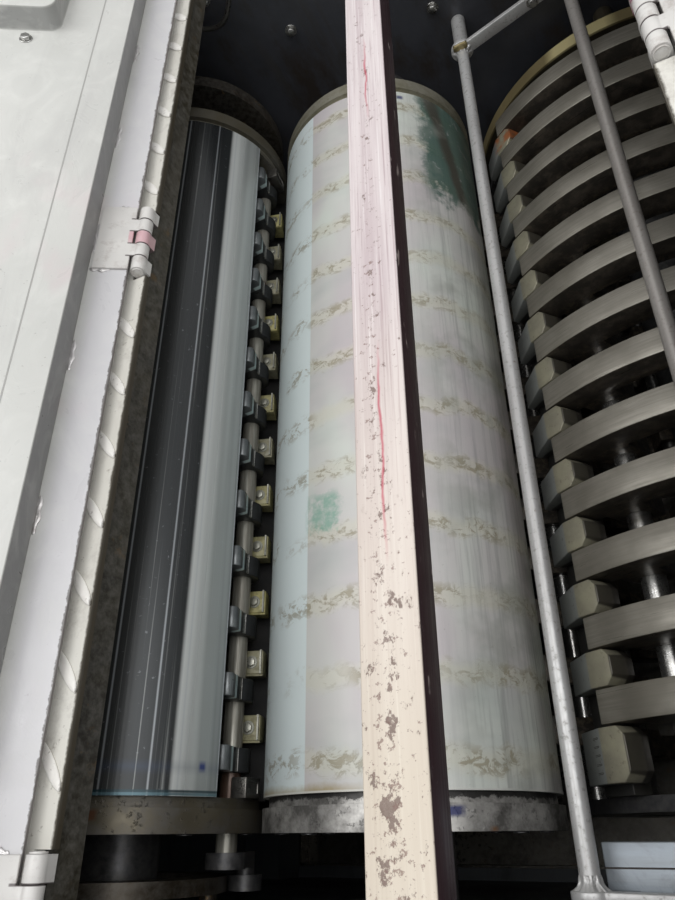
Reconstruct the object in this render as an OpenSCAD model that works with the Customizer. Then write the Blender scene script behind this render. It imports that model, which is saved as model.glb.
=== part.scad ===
// Transfer section of a sheet-fed offset printing press: the open cylinder bay between two printing
// units, from the floor up to its hinged footboards. X is the sheet's travel, Y runs across the press
// from the operator's side to the drive side, and Z is up from the floor.

/* [Side frames and base] */
// Length of the side frames along the sheet's travel
frame_l = 1120; // [1060:10:1300]
// Thickness of each cast side frame
frame_t = 45; // [30:1:60]
// Height of the tread surface above the floor
deck_z = 902; // [880:1:940]
// Height of the levelling feet
foot_h = 40; // [25:1:60]
// Radius of a levelling foot's pad
foot_r = 30; // [20:1:30]
// Radius of a levelling foot's screw
foot_screw_r = 12; // [8:1:14]
// Thickness of a levelling foot's pad
foot_pad_t = 12; // [8:1:16]
// Height of the base beams
base_h = 80; // [60:1:84]
// Width of the base beams
base_w = 60; // [50:1:70]
// Depth of the oil pan's rim below the base beams' tops
oil_pan_drop = 10; // [5:1:20]
// Width and height of the four cross ties
tie_w = 60; // [40:1:64]
// How far the cross ties stand in from the frame's ends
tie_inset = 12; // [6:1:16]
// Radius of the plain holes for the studs of the unit before this one
unit_stud_r = 11; // [10.5:0.25:12]
// Radius of the tapped holes for the studs to the unit after it
unit_tap_r = 8.75; // [8.5:0.05:8.8]
// Depth of those holes
unit_bolt_depth = 60; // [30:1:80]
// Height of the lowest of those holes
unit_bolt_z = 300; // [260:5:330]
// Distance between the two holes on a frame end
unit_bolt_pitch = 420; // [300:5:440]

/* [Cylinders] */
// Radius of the bearers on the two solid cylinders
bearer_r = 127.5; // [124:0.5:128]
// Radius of their shells
shell_r = 127; // [123:0.5:127.5]
// Wall of the middle cylinder's shell
shell_wall = 30; // [15:1:34]
// Width of a bearer
bearer_w = 18; // [12:1:24]
// Width of the sunk ring beside a bearer
groove_w = 8; // [4:1:12]
// Radius of that sunk ring
groove_r = 122; // [112:1:123]
// Width over the bearers
cylinder_w = 833; // [800:1:850]
// Distance from the operator side frame to the bearers
bearer_gap = 60; // [55:1:66]
// Distance from the bearers to the drive side frame
far_gap = 117; // [110:1:150]
// Pitch radius of the gears on the two solid cylinders
pitch_r = 130; // [130:0.5:132]
// Radius of the journals of the solid cylinders
journal_r = 35; // [25:1:40]
// Running clearance of a journal in its frame
journal_fit = 0.05; // [0.02:0.01:0.09]
// Place of the middle cylinder along the press
middle_x = -108; // [-112:1:-104]
// Height of the middle cylinder's axis
middle_z = 600; // [597:1:603]
// Slope of the line from the left cylinder to the middle one
left_slope = 161.5; // [160:0.5:163]
// Slope of the line from the middle cylinder to the drum
drum_slope = -33.5; // [-35:0.5:-32]

/* [Left cylinder's grippers] */
// Angle where the gripper channel starts, above the horizontal
channel_top = 14; // [12:0.5:15]
// Angle where the gripper channel ends
channel_foot = -32; // [-38:1:-30]
// Radius of the channel's floor
channel_r = 86; // [84:0.5:88]
// Wall of the left cylinder's shell behind the channel's floor
channel_wall = 9; // [6:0.5:16]
// Radius of the gripper shaft
gripper_shaft_r = 9; // [7:0.5:10]
// Distance of the gripper shaft from the cylinder's axis
gripper_orbit = 104; // [102:1:106]
// Angle of the gripper shaft round the cylinder
gripper_angle = -9; // [-12:1:-7]
// Distance between grippers
gripper_pitch = 59.5; // [57:0.5:60]
// Distance of the first gripper from the operator side bearer's face
gripper_y = 56.5; // [54:0.5:57]
// Width of a gripper finger
finger_w = 20; // [16:1:24]
// Distance of a finger's rounded tip from the cylinder's axis
finger_tip_r = 119.5; // [116:0.5:120.5]
// Angle of that tip below the channel's top edge
finger_tip_back = 5; // [4.5:0.25:6]
// Width of the sheet rests between the fingers
pad_w = 22; // [16:1:26]
// Radius of the rests' tops
pad_r = 124; // [118:0.5:125]
// Angle where a rest starts
pad_top = -17; // [-18:0.5:-15]
// Angle where a rest ends
pad_foot = -28; // [-29:0.5:-25]
// Angle between the gripper shaft and the cam roller
lever_span = 26; // [24:1:28]
// Radius of the cam roller's pin
roller_pin_r = 8; // [5:0.5:9]
// Gap between the roller and its cam
roller_gap = 0.5; // [0.3:0.1:1]
// Radius of the cam roller
roller_r = 15; // [12:0.5:17]
// Thickness of the roller and its cam
roller_w = 12; // [8:1:14]

/* [Skeleton drum] */
// Radius over the ribs
rib_r = 255; // [250:0.5:256]
// Depth of a rib from its outer face to its inner one
rib_d = 32; // [20:1:40]
// Width of a rib
rib_w = 27; // [20:1:30]
// Distance of the first rib's middle from the bearers' plane
rib_y = 90; // [84:1:94]
// Distance between ribs
row_pitch = 61; // [58:0.5:61]
// Angle of the ribs' leading ends
rib_start = 129; // [125:1:133]
// Angle that each rib spans
rib_span = 146; // [120:1:150]
// Width of a gripper block
block_w = 30; // [22:1:33]
// Width of the first, slotted block
first_block_w = 42; // [34:1:44]
// Radial height of a block
block_d = 26; // [16:1:30]
// Length of a block's top between the ribs
block_lead = 22; // [16:0.5:26]
// Length of a block past the ribs' ends
block_tail = 41; // [30:0.5:44]
// Distance from the ribs' ends to the ridge of a block
block_ridge = 4.5; // [2:0.5:8]
// Fall of a block's sloping face
block_fall = 14; // [8:0.5:18]
// Chamfer at the two corners of a block between the ribs
block_chamfer = 8; // [4:0.5:10]
// Angle that the bar behind the blocks spans
block_bar_span = 9.5; // [7:0.5:10]
// Distance of the axial rods from the drum's axis
tie_rod_orbit = 200; // [190:1:205]
// Radius of the axial rods
tie_rod_r = 11; // [8:0.5:12]
// Number of axial rods behind each set of ribs
tie_rod_n = 4; // [3:1:5]
// Thickness of the bar that carries the gripper blocks
block_bar_t = 20; // [14:1:22]
// Radius of the drum's end discs
spider_r = 216; // [214:1:220]
// Thickness of the end discs
spider_t = 12; // [8:1:14]
// Radius of the round windows in the end discs
window_r = 48; // [30:1:52]
// Radius of the drum's journals
drum_journal_r = 45; // [30:1:50]

/* [Gears] */
// Number of teeth on each solid cylinder's gear
teeth = 52; // [40:4:60]
// Width of the gears
gear_w = 30; // [20:1:36]
// Gap between the drive side frame and the gears
gear_gap = 15; // [10:1:25]
// Depth of the gear case behind the frame
gear_case_d = 120; // [100:1:160]
// Thickness of the covers' sheet
sheet_t = 3; // [2:0.5:4]
// Height of the gear case's foot above the floor
gear_case_z = 100; // [95:1:104]
// Height of the gear case
gear_case_h = 760; // [740:5:780]

/* [Operator side cover] */
// Depth of the operator side cover
cover_d = 70; // [50:1:100]
// Height of its foot above the floor
cover_z = 70; // [50:1:90]
// Margin from the frame's ends and its top
cover_margin = 20; // [10:1:40]
// Radius of the cover's vertical corners
cover_corner_r = 18; // [8:1:30]
// Radius of the bow handles
handle_r = 7; // [5:0.5:9]
// Length of the bow handles
handle_l = 160; // [110:5:200]
// How far the handles stand off
handle_d = 38; // [30:1:50]
// Width of the control box
control_w = 120; // [90:1:150]
// Height of the control box
control_h = 190; // [150:1:220]
// Depth of the control box
control_d = 45; // [30:1:60]
// Distance of the control box below the cover's top
control_drop = 60; // [30:5:120]
// How far the push buttons stand out of the box
button_d = 8; // [5:1:12]
// Radius of its push buttons
button_r = 14; // [10:0.5:18]

/* [Footboards] */
// Distance of the left deck's edge from the drawing's middle plane
left_edge_x = 204; // [198:0.5:206]
// Distance of the right deck's edge from that plane
right_edge_x = 199; // [195:0.5:201]
// Distance of the hinge axes behind the decks' edges
hinge_back = 5.75; // [5:0.25:6.25]
// Height of the hinge axes above the tread surface
hinge_rise = 4; // [3.5:0.25:5]
// Thickness of the tread plate
tread_t = 5; // [4:0.5:6]
// Thickness of the flaps' plate
flap_t = 4; // [3:0.25:4]
// Angle by which the left flap leans up from level when it is open
left_lean = 30; // [20:1:40]
// Distance from a hinge axis to the flap's near edge
flap_near = 8; // [8:0.5:10]
// Distance from a hinge axis to the left flap's free edge
left_flap_w = 217; // [211:0.5:217.5]
// Distance from a hinge axis to the right flap's free edge
right_flap_w = 192.5; // [188:0.5:192.5]
// Distance from a hinge axis to the start of the raised pan
pan_near = 40.5; // [39.5:0.5:50]
// Width of the flat rim between the pan and the free edge
pan_rim = 24; // [23:0.5:28]
// Thickness of the pan's sheet
pan_t = 2; // [1.5:0.25:3]
// Height of the raised pan
pan_h = 30; // [20:1:34]
// Margin between the pan and the flap's ends
pan_end = 40; // [30:1:60]
// Length of the flaps beyond the bay at each end
flap_lap = 30; // [25:1:40]
// Width of the two posts that the open left flap leans on
rest_w = 40; // [25:1:50]
// Distance from the hinge axis to the far side of the left flap's latch box
left_latch_end = 174; // [166:1:180]
// Distance from the hinge axis to the far side of the right flap's latch box
right_latch_end = 164; // [156:1:165]
// Length of the latch box along the flap
latch_l = 100; // [70:1:120]
// Height of the latch box
latch_h = 25; // [15:1:30]
// Radius of the latch box's corners
latch_r = 12; // [6:1:16]
// Distance of the latch box from the bearers' plane
latch_y = 701; // [660:1:740]
// Distance of the latch box from the hinge axis
latch_x = 105.5; // [96:0.5:110]
// Height of the walls below the opening's edges
edge_wall_h = 24; // [20:1:40]
// Distance of those walls behind the edges
edge_wall_inset = 5; // [4:0.25:5.5]
// Thickness of that wall
edge_wall_t = 4; // [3:0.5:6]

/* [Hinges] */
// Radius of a hinge barrel
barrel_r = 6.5; // [5.5:0.25:6.75]
// Radius of a hinge pin
pin_r = 3; // [2:0.25:3.5]
// Running clearance of a hinge pin
pin_fit = 0.05; // [0.02:0.01:0.09]
// Length of one knuckle
knuckle_l = 14.4; // [12:0.1:16]
// Gap between two knuckles
knuckle_gap = 0.4; // [0.2:0.05:0.6]
// Thickness of a hinge leaf
leaf_t = 2.5; // [2:0.25:3]
// Reach of a leaf from the hinge axis
leaf_w = 38; // [30:1:40]
// Distance of the first hinge's middle from the operator side frame's inner face
hinge_inset = 15; // [10:1:18]
// Distance of the last hinge's middle past the drive side frame's inner face
far_hinge_past = 5; // [0:1:8]
// Clearance round a hinge in the tread plate
hinge_notch = 2; // [1:0.5:3]

/* [Support bar and guard] */
// Middle of the support bar along the press
bar_x = 5.75; // [5:0.25:6.5]
// Width of the support bar
bar_w = 33.5; // [30:0.5:34]
// Height of the support bar
bar_h = 26; // [20:1:36]
// Gap between the bar and the closed flaps
bar_clearance = 0.3; // [0.2:0.1:1]
// Length of the brackets below the bar's ends
bracket_l = 30; // [20:1:50]
// Height of those brackets
bracket_h = 20; // [12:1:30]
// Radius of the guard rods
guard_r = 7; // [5:0.5:9]
// Place of the lower guard rod along the press
guard_low_x = 44; // [40:1:50]
// Height of the lower guard rod below the tread surface
guard_low_drop = 234; // [224:1:244]
// Place of the upper guard rod along the press
guard_high_x = 179; // [172:1:184]
// Height of the upper guard rod below the tread surface
guard_high_drop = 204; // [190:1:214]
// Thickness of the arms that hold the guard rods
guard_arm_t = 6; // [4:0.5:8]
// Gap between the near arm and the operator side frame
guard_standoff = 19; // [15:1:24]
// Gap between the far arm and the drive side frame
guard_far_standoff = 62; // [50:1:75]
// Width of the ledge rail beside the drum
rail_w = 29; // [20:1:32]
// Thickness of the ledge rail
rail_t = 12; // [8:1:16]
// Length of the ledge rail
rail_l = 345; // [250:5:360]
// Gap between the ledge rail and the lower guard rod's eye above it
rail_gap = 1.5; // [1:0.5:6]
// Distance of the rail's end from the lower guard rod's axis
rail_start = 8; // [4:1:20]
// Distance of the ledge rail from the bearers' plane
rail_inset = 7; // [5:1:15]
// Length of the rail's two feet along the rail
rail_foot_l = 30; // [15:1:40]
// Distance of those feet from the rail's ends
rail_foot_inset = 20; // [10:1:40]

/* [Fixed cams] */
// Outer radius of the operator side cam
cam_r = 96; // [92:0.5:97]
// Inner radius of the operator side cam
cam_bore_r = 65; // [60:0.5:72]
// Distance of the operator side cam from its side frame
cam_standoff = 16; // [14:0.5:18]
// Outer radius of the left cylinder's drive side cam
far_cam_r = 118; // [110:1:122]
// Inner radius of that cam
far_cam_bore_r = 80; // [74:1:84]
// Outer radius of the drum's cam
drum_cam_r = 224; // [215:1:230]
// Inner radius of the drum's cam
drum_cam_bore_r = 180; // [172:1:188]
// Thickness of the two drive side cams
far_cam_t = 20; // [12:1:24]
// Distance of the two drive side cams from the far bearers
far_cam_gap = 60; // [50:1:65]
// Radius of the studs that hold the operator side cam
stud_r = 8; // [6:0.5:9]
// Radius of the studs that hold the left cylinder's drive side cam
far_stud_r = 10; // [7:0.5:12]
// Radius of the studs that hold the drum's cam
drum_stud_r = 12; // [8:0.5:14]
// Width of the ring of a bearing flange
flange_ring = 27; // [18:1:30]
// Thickness of a bearing flange
flange_t = 10; // [6:0.5:12]

/* [Hidden] */
$fn = 96;
// How far a cut runs past a face
cut = 1;
// Gap between two pieces where one rests on the other
seat_gap = 0.3;
// Play between a bearing flange and its shaft
flange_play = 0.5;
// How far a shaft's end lies from the frame's outer face, and past its gear
shaft_end_gap = 5;

// Places along Y, counted from the outer face of the operator side bearers
bay_w = bearer_gap + cylinder_w + far_gap;
op_in = -bearer_gap;
op_out = op_in - frame_t;
dr_in = op_in + bay_w;
dr_out = dr_in + frame_t;
cover_out = op_out - cover_d;
case_out = dr_out + gear_case_d;
front_out = cover_out - max(handle_d + handle_r, control_d + button_d);
y_mid = (front_out + case_out) / 2;
gear_y0 = dr_out + gear_gap;
gear_y1 = gear_y0 + gear_w;
shaft_y0 = op_out + shaft_end_gap;
shaft_y1 = gear_y1 + shaft_end_gap;

// Heights
base_z = foot_h;
frame_z = base_z + base_h;
frame_top = deck_z - tread_t;
hinge_z = deck_z + hinge_rise;

// Axes as [x, z]
centre_distance = 2 * pitch_r;
drum_distance = 3 * pitch_r;
middle_c = [middle_x, middle_z];
left_c = middle_c + centre_distance * [cos(left_slope), sin(left_slope)];
drum_c = middle_c + drum_distance * [cos(drum_slope), sin(drum_slope)];
guard_low_c = [guard_low_x, deck_z - guard_low_drop];
guard_high_c = [guard_high_x, deck_z - guard_high_drop];

// Gear teeth
gear_module = 2 * pitch_r / teeth;
tooth_step = 360 / teeth;
left_phase = 2 * left_slope + 180 + tooth_step / 2;
drum_phase = drum_slope * 1.5 + 180 + tooth_step / 4;

module placed() {
    translate([0, -y_mid, 0]) children();
}

module at(c) {
    translate([c[0], 0, c[1]]) children();
}

module rod(y0, y1, r) {
    translate([0, y0, 0]) rotate([-90, 0, 0]) cylinder(h = y1 - y0, r = r);
}

module profile(y0, y1) {
    translate([0, y1, 0]) rotate([90, 0, 0]) linear_extrude(y1 - y0) children();
}

module block(x0, x1, y0, y1, z0, z1) {
    translate([x0, y0, z0]) cube([x1 - x0, y1 - y0, z1 - z0]);
}

function polar(r, a) = [r * cos(a), r * sin(a)];

// A wedge of a disc between two angles, as an outline
module wedge(r, a0, a1) {
    steps = 12;
    polygon(concat([[0, 0]], [for (i = [0 : steps]) polar(r, a0 + (a1 - a0) * i / steps)]));
}

// Part of a ring between two radii and two angles, as an outline
module ring_part(r_in, r_out, a0, a1) {
    intersection() {
        difference() {
            circle(r = r_out);
            circle(r = r_in);
        }
        wedge(r_out * 1.4, a0, a1);
    }
}

// Base and side frames

module base_beams() {
    x = frame_l / 2;
    placed() color("dimgray") {
        block(-x, x, op_out, op_out + base_w, base_z, frame_z);
        block(-x, x, dr_out - base_w, dr_out, base_z, frame_z);
        for (side = [-1, 1])
            block(side * (x - base_w / 2) - base_w / 2, side * (x - base_w / 2) + base_w / 2,
                op_out + base_w, dr_out - base_w, base_z, frame_z);
    }
}

module levelling_feet() {
    x = frame_l / 2 - base_w;
    placed() color("silver")
        for (px = [-x, 0, x], py = [op_out + base_w / 2, dr_out - base_w / 2])
            translate([px, py, 0]) {
                cylinder(h = foot_pad_t, r = foot_r);
                cylinder(h = foot_h, r = foot_screw_r);
            }
}

function edge_x(side) = side > 0 ? right_edge_x : left_edge_x;
function hinge_x(side) = edge_x(side) + hinge_back;
// The stretch from one distance to another on a side of the middle plane
function span(side, from, to) = side > 0 ? [from, to] : [-to, -from];

// Pockets for the fixed hinge leaves, in what lies under the decks
module leaf_pockets() {
    reach = hinge_l / 2 + seat_gap;
    for (y = hinge_places(), side = [-1, 1]) {
        x = span(side, edge_x(side), hinge_x(side) + leaf_w + seat_gap);
        block(x[0], x[1], y - reach, y + reach, frame_top - leaf_t - seat_gap, frame_top + cut);
    }
}

module side_frame_plate(y0, y1) {
    x = frame_l / 2;
    difference() {
        block(-x, x, y0, y1, frame_z, frame_top);
        for (c = [left_c, middle_c]) at(c) rod(y0 - cut, y1 + cut, journal_r + journal_fit);
        at(drum_c) rod(y0 - cut, y1 + cut, drum_journal_r + journal_fit);
        for (side = [-1, 1], z = [unit_bolt_z, unit_bolt_z + unit_bolt_pitch])
            translate([side * (x + cut), (y0 + y1) / 2, z])
                rotate([0, -side * 90, 0])
                    cylinder(h = unit_bolt_depth + cut, r = side < 0 ? unit_stud_r : unit_tap_r);
        leaf_pockets();
    }
}

module operator_side_frame() {
    placed() color("darkslategray") side_frame_plate(op_out, op_in);
}

module drive_side_frame() {
    placed() color("darkslategray") side_frame_plate(dr_in, dr_out);
}

module cross_ties() {
    x0 = frame_l / 2 - tie_inset - tie_w;
    placed() color("dimgray")
        for (side = [-1, 1], z = [frame_z + tie_inset, frame_top - tie_inset - tie_w])
            block(side > 0 ? x0 : -x0 - tie_w, side > 0 ? x0 + tie_w : -x0, op_in, dr_in, z, z + tie_w);
}

// Sheets that close the two ends between the side frames
module end_panels() {
    placed() color("dimgray")
        for (side = [-1, 1]) {
            x = span(side, frame_l / 2 - tie_inset, frame_l / 2 - tie_inset + sheet_t);
            block(x[0], x[1], op_in, dr_in, frame_z + tie_inset, frame_top - tie_inset);
        }
}

module oil_pan() {
    x = frame_l / 2 - base_w;
    y0 = op_out + base_w;
    y1 = dr_out - base_w;
    z0 = base_z + base_h / 2;
    placed() color("gray")
        difference() {
            block(-x, x, y0, y1, z0, frame_z - oil_pan_drop);
            block(-x + sheet_t, x - sheet_t, y0 + sheet_t, y1 - sheet_t, z0 + sheet_t, frame_z);
        }
}

module bearing_flange(y0, y1, shaft_r) {
    difference() {
        rod(y0, y1, shaft_r + flange_ring);
        rod(y0 - cut, y1 + cut, shaft_r + flange_play);
    }
}

module bearing_flanges() {
    placed() color("gray")
        for (y = [[op_in, op_in + flange_t], [dr_in - flange_t, dr_in]]) {
            for (c = [left_c, middle_c]) at(c) bearing_flange(y[0], y[1], journal_r);
            at(drum_c) bearing_flange(y[0], y[1], drum_journal_r);
        }
}

// Covers

module operator_cover() {
    x = frame_l / 2 - cover_margin;
    r = cover_corner_r;
    placed() color("gainsboro")
        difference() {
            union() {
                block(-x + r, x - r, cover_out, op_out, cover_z, deck_z - cover_margin);
                block(-x, x, cover_out + r, op_out, cover_z, deck_z - cover_margin);
                for (side = [-1, 1])
                    translate([side * (x - r), cover_out + r, cover_z])
                        cylinder(h = deck_z - cover_margin - cover_z, r = r);
            }
            block(-x + sheet_t, x - sheet_t, cover_out + r, op_out + cut,
                cover_z + sheet_t, deck_z - cover_margin - sheet_t);
            block(-x + r, x - r, cover_out + sheet_t, cover_out + r + cut,
                cover_z + sheet_t, deck_z - cover_margin - sheet_t);
        }
}

module cover_handles() {
    z = (cover_z + deck_z) / 2;
    placed() color("silver")
        for (side = [-1, 1])
            translate([side * frame_l / 4, 0, z]) {
                for (end = [-1, 1])
                    translate([0, 0, end * (handle_l / 2 - handle_r)])
                        rod(cover_out - handle_d, cover_out, handle_r);
                translate([0, cover_out - handle_d, -handle_l / 2]) cylinder(h = handle_l, r = handle_r);
            }
}

control_z = deck_z - cover_margin - control_drop - control_h;

module control_box() {
    placed() color("whitesmoke")
        block(-control_w / 2, control_w / 2, cover_out - control_d, cover_out,
            control_z, control_z + control_h);
}

// Two columns of buttons
module push_buttons() {
    rows = 3;
    placed() color("seagreen")
        for (column = [-1, 1], row = [0 : rows - 1])
            translate([column * control_w / 4, 0, control_z + control_h * (row + 0.5) / rows])
                rod(cover_out - control_d - button_d, cover_out - control_d, button_r);
}

module gear_case() {
    x = frame_l / 2 - cover_margin;
    z1 = gear_case_z + gear_case_h;
    r = cover_corner_r;
    placed() color("gainsboro")
        difference() {
            union() {
                block(-x + r, x - r, dr_out, case_out, gear_case_z, z1);
                block(-x, x, dr_out, case_out - r, gear_case_z, z1);
                for (side = [-1, 1])
                    translate([side * (x - r), case_out - r, gear_case_z])
                        cylinder(h = gear_case_h, r = r);
            }
            block(-x + sheet_t, x - sheet_t, dr_out - cut, case_out - r, gear_case_z + sheet_t, z1 - sheet_t);
            block(-x + r, x - r, case_out - r - cut, case_out - sheet_t, gear_case_z + sheet_t, z1 - sheet_t);
        }
}

// Fixed decks and their hinges

hinge_y = op_in + hinge_inset;
hinge_pitch = (dr_in + far_hinge_past - hinge_y) / 2;
function hinge_places() = [for (i = [0 : 2]) hinge_y + i * hinge_pitch];
hinge_l = 5 * knuckle_l;

module deck(side) {
    x = span(side, edge_x(side), frame_l / 2);
    notch = span(side, edge_x(side) - cut, hinge_x(side) + barrel_r + hinge_notch);
    notch_y = hinge_l / 2 + hinge_notch;
    placed() color("white")
        difference() {
            block(x[0], x[1], op_out, dr_out, frame_top, deck_z);
            for (y = hinge_places())
                block(notch[0], notch[1], y - notch_y, y + notch_y, frame_top - cut, deck_z + cut);
        }
}

module left_deck() {
    deck(-1);
}

module right_deck() {
    deck(1);
}

// The strips over the side frames, notched where the closed flaps' hinge leaves lie
module deck_sills() {
    notch_y = hinge_l / 2 + hinge_notch;
    placed() color("white")
        difference() {
            for (y = [[op_out, op_in], [dr_in, dr_out]])
                block(-left_edge_x, right_edge_x, y[0], y[1], frame_top, deck_z);
            for (y = hinge_places(), side = [-1, 1]) {
                x = span(side, hinge_x(side) - leaf_w - hinge_notch, edge_x(side) + cut);
                block(x[0], x[1], y - notch_y, y + notch_y, frame_top - cut, deck_z + cut);
            }
        }
}

module deck_edge_walls() {
    placed() color("darkolivegreen")
        for (side = [-1, 1]) {
            x0 = edge_x(side) + edge_wall_inset;
            x = span(side, x0, x0 + edge_wall_t);
            block(x[0], x[1], op_in, dr_in, frame_top - edge_wall_h, frame_top);
        }
}

// Ends of one of a hinge's five knuckles, along Y
function knuckle_y0(i) = (i - 2.5) * knuckle_l + knuckle_gap / 2;
function knuckle_y1(i) = (i - 1.5) * knuckle_l - knuckle_gap / 2;

// The fixed half of a hinge: three knuckles on necks, a leaf under the deck, and the pin
module fixed_hinge() {
    drop = hinge_rise + tread_t;
    wall_x = hinge_back - edge_wall_inset - edge_wall_t;
    for (i = [0, 2, 4]) {
        rod(knuckle_y0(i), knuckle_y1(i), barrel_r);
        block(-barrel_r, hinge_back, knuckle_y0(i), knuckle_y1(i), -drop, 0);
        block(-barrel_r, wall_x, knuckle_y0(i), knuckle_y1(i), -drop - leaf_t, 0);
    }
    block(-leaf_w, wall_x, -hinge_l / 2, hinge_l / 2, -drop - leaf_t, -drop);
    rod(-hinge_l / 2, hinge_l / 2, pin_r);
}

module deck_hinges() {
    placed() color("gainsboro")
        for (y = hinge_places()) {
            translate([-hinge_x(-1), y, hinge_z]) fixed_hinge();
            translate([hinge_x(1), y, hinge_z]) mirror([1, 0, 0]) fixed_hinge();
        }
}

// Flaps, drawn lying along +X from the hinge axis with their undersides up

flap_y0 = op_in - flap_lap;
flap_y1 = dr_in + flap_lap;
// Distance of a closed flap's walking face above the hinge axis
face_rise = 1.5;
flap_under = flap_t - face_rise;

module flap_plate(w) {
    block(flap_near, w, flap_y0, flap_y1, flap_under - flap_t, flap_under);
}

// The folded stiffening pan, hollow against the plate, with the latch box on it
module flap_pan(w, latch_end) {
    pan_far = w - pan_rim;
    y0 = flap_y0 + pan_end;
    y1 = flap_y1 - pan_end;
    z = flap_under + pan_h;
    t = pan_t;
    difference() {
        block(pan_near, pan_far, y0, y1, flap_under, z);
        block(pan_near + t, pan_far - t, y0 + t, y1 - t, flap_under - cut, z - t);
    }
    block(latch_x + latch_r, latch_end - latch_r, latch_y, latch_y + latch_l, z, z + latch_h);
    block(latch_x, latch_end, latch_y + latch_r, latch_y + latch_l - latch_r, z, z + latch_h);
    for (x = [latch_x + latch_r, latch_end - latch_r], y = [latch_y + latch_r, latch_y + latch_l - latch_r])
        translate([x, y, z]) cylinder(h = latch_h, r = latch_r);
}

module flap_hinges() {
    for (y = hinge_places())
        translate([0, y, 0])
            difference() {
                union() {
                    for (i = [1, 3]) {
                        rod(knuckle_y0(i), knuckle_y1(i), barrel_r);
                        block(0, flap_near, knuckle_y0(i), knuckle_y1(i), flap_under, flap_under + leaf_t);
                    }
                    block(flap_near, leaf_w, -hinge_l / 2, hinge_l / 2, flap_under, flap_under + leaf_t);
                }
                rod(-hinge_l, hinge_l, pin_r + pin_fit);
            }
}

module on_left_flap() {
    placed() translate([-hinge_x(-1), 0, hinge_z]) rotate([0, left_lean, 0]) mirror([1, 0, 0]) children();
}

module on_right_flap() {
    placed() translate([hinge_x(1), 0, hinge_z]) children();
}

module left_flap_plate() {
    color("lightgray") on_left_flap() flap_plate(left_flap_w);
}

module left_flap_pan() {
    color("lightgray") on_left_flap() flap_pan(left_flap_w, left_latch_end);
}

module left_flap_hinges() {
    color("gainsboro") on_left_flap() flap_hinges();
}

module right_flap_plate() {
    color("lightgray") on_right_flap() flap_plate(right_flap_w);
}

module right_flap_pan() {
    color("lightgray") on_right_flap() flap_pan(right_flap_w, right_latch_end);
}

module right_flap_hinges() {
    color("gainsboro") on_right_flap() flap_hinges();
}

// Two posts on the left deck that the open flap leans on
module flap_rests() {
    reach = left_flap_w - pan_rim;
    foot_x = -hinge_x(-1) - reach * cos(left_lean) - rest_w / 2;
    placed() color("dimgray")
        for (y = [hinge_y + hinge_pitch / 2, hinge_y + hinge_pitch * 1.5])
            difference() {
                block(foot_x, foot_x + rest_w, y - rest_w / 2, y + rest_w / 2, deck_z, hinge_z + left_flap_w);
                translate([-hinge_x(-1), 0, hinge_z]) rotate([0, left_lean, 0])
                    block(-2 * left_flap_w, left_flap_w, y - rest_w, y + rest_w,
                        flap_under - flap_t - seat_gap, left_flap_w);
            }
}

// Support bar, guard rods and rail

bar_top = hinge_z - flap_under - bar_clearance;

module support_bar() {
    placed() color("rosybrown")
        block(bar_x - bar_w / 2, bar_x + bar_w / 2, op_in, dr_in, bar_top - bar_h, bar_top);
}

module bar_brackets() {
    placed() color("dimgray")
        for (y = [op_in, dr_in - bracket_l])
            block(bar_x - bar_w / 2, bar_x + bar_w / 2, y, y + bracket_l,
                bar_top - bar_h - bracket_h, bar_top - bar_h);
}

guard_y0 = op_in + guard_standoff;
guard_y1 = dr_in - guard_far_standoff;
guard_eye_r = 2 * guard_r;
guard_arm_w = 1.1 * guard_eye_r;
guard_spacer_r = guard_r + 2;

module guard_rods() {
    placed() color("gray")
        for (c = [guard_low_c, guard_high_c])
            at(c) rod(guard_y0 + guard_arm_t, guard_y1 - guard_arm_t, guard_r);
}

// A flat arm between the two rods, with an eye round each
module guard_arm(y0, y1) {
    along = (guard_high_c - guard_low_c) / norm(guard_high_c - guard_low_c);
    across = guard_arm_w / 2 * [-along[1], along[0]];
    profile(y0, y1)
        union() {
            for (c = [guard_low_c, guard_high_c]) translate(c) circle(r = guard_eye_r);
            polygon([guard_low_c - across, guard_high_c - across,
                guard_high_c + across, guard_low_c + across]);
        }
}

// The two arms, each with spacers to its side frame
module guard_arms() {
    placed() color("gray") {
        guard_arm(guard_y0, guard_y0 + guard_arm_t);
        guard_arm(guard_y1 - guard_arm_t, guard_y1);
        for (c = [guard_low_c, guard_high_c]) {
            at(c) rod(op_in, guard_y0, guard_spacer_r);
            at(c) rod(guard_y1, dr_in, guard_spacer_r);
        }
    }
}

module ledge_rail() {
    x0 = guard_low_x + rail_start;
    y0 = -rail_inset - rail_w;
    z1 = guard_low_c[1] - guard_eye_r - rail_gap;
    placed() color("silver") {
        block(x0, x0 + rail_l, y0, -rail_inset, z1 - rail_t, z1);
        for (x = [x0 + rail_foot_inset, x0 + rail_l - rail_foot_inset - rail_foot_l])
            block(x, x + rail_foot_l, op_in, y0, z1 - rail_t, z1);
    }
}

// Fixed cams round the journals

module cam_ring(y0, y1, r_in, r_out) {
    difference() {
        rod(y0, y1, r_out);
        rod(y0 - cut, y1 + cut, r_in);
    }
}

// Studs between a cam and its side frame
module cam_studs(y0, y1, orbit, r, n, first) {
    for (i = [0 : n - 1])
        rotate([0, first + i * 360 / n, 0]) translate([orbit, 0, 0]) rod(y0, y1, r);
}

cam_y0 = op_in + cam_standoff;
far_cam_y0 = cylinder_w + far_cam_gap;
far_cam_y1 = far_cam_y0 + far_cam_t;

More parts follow.
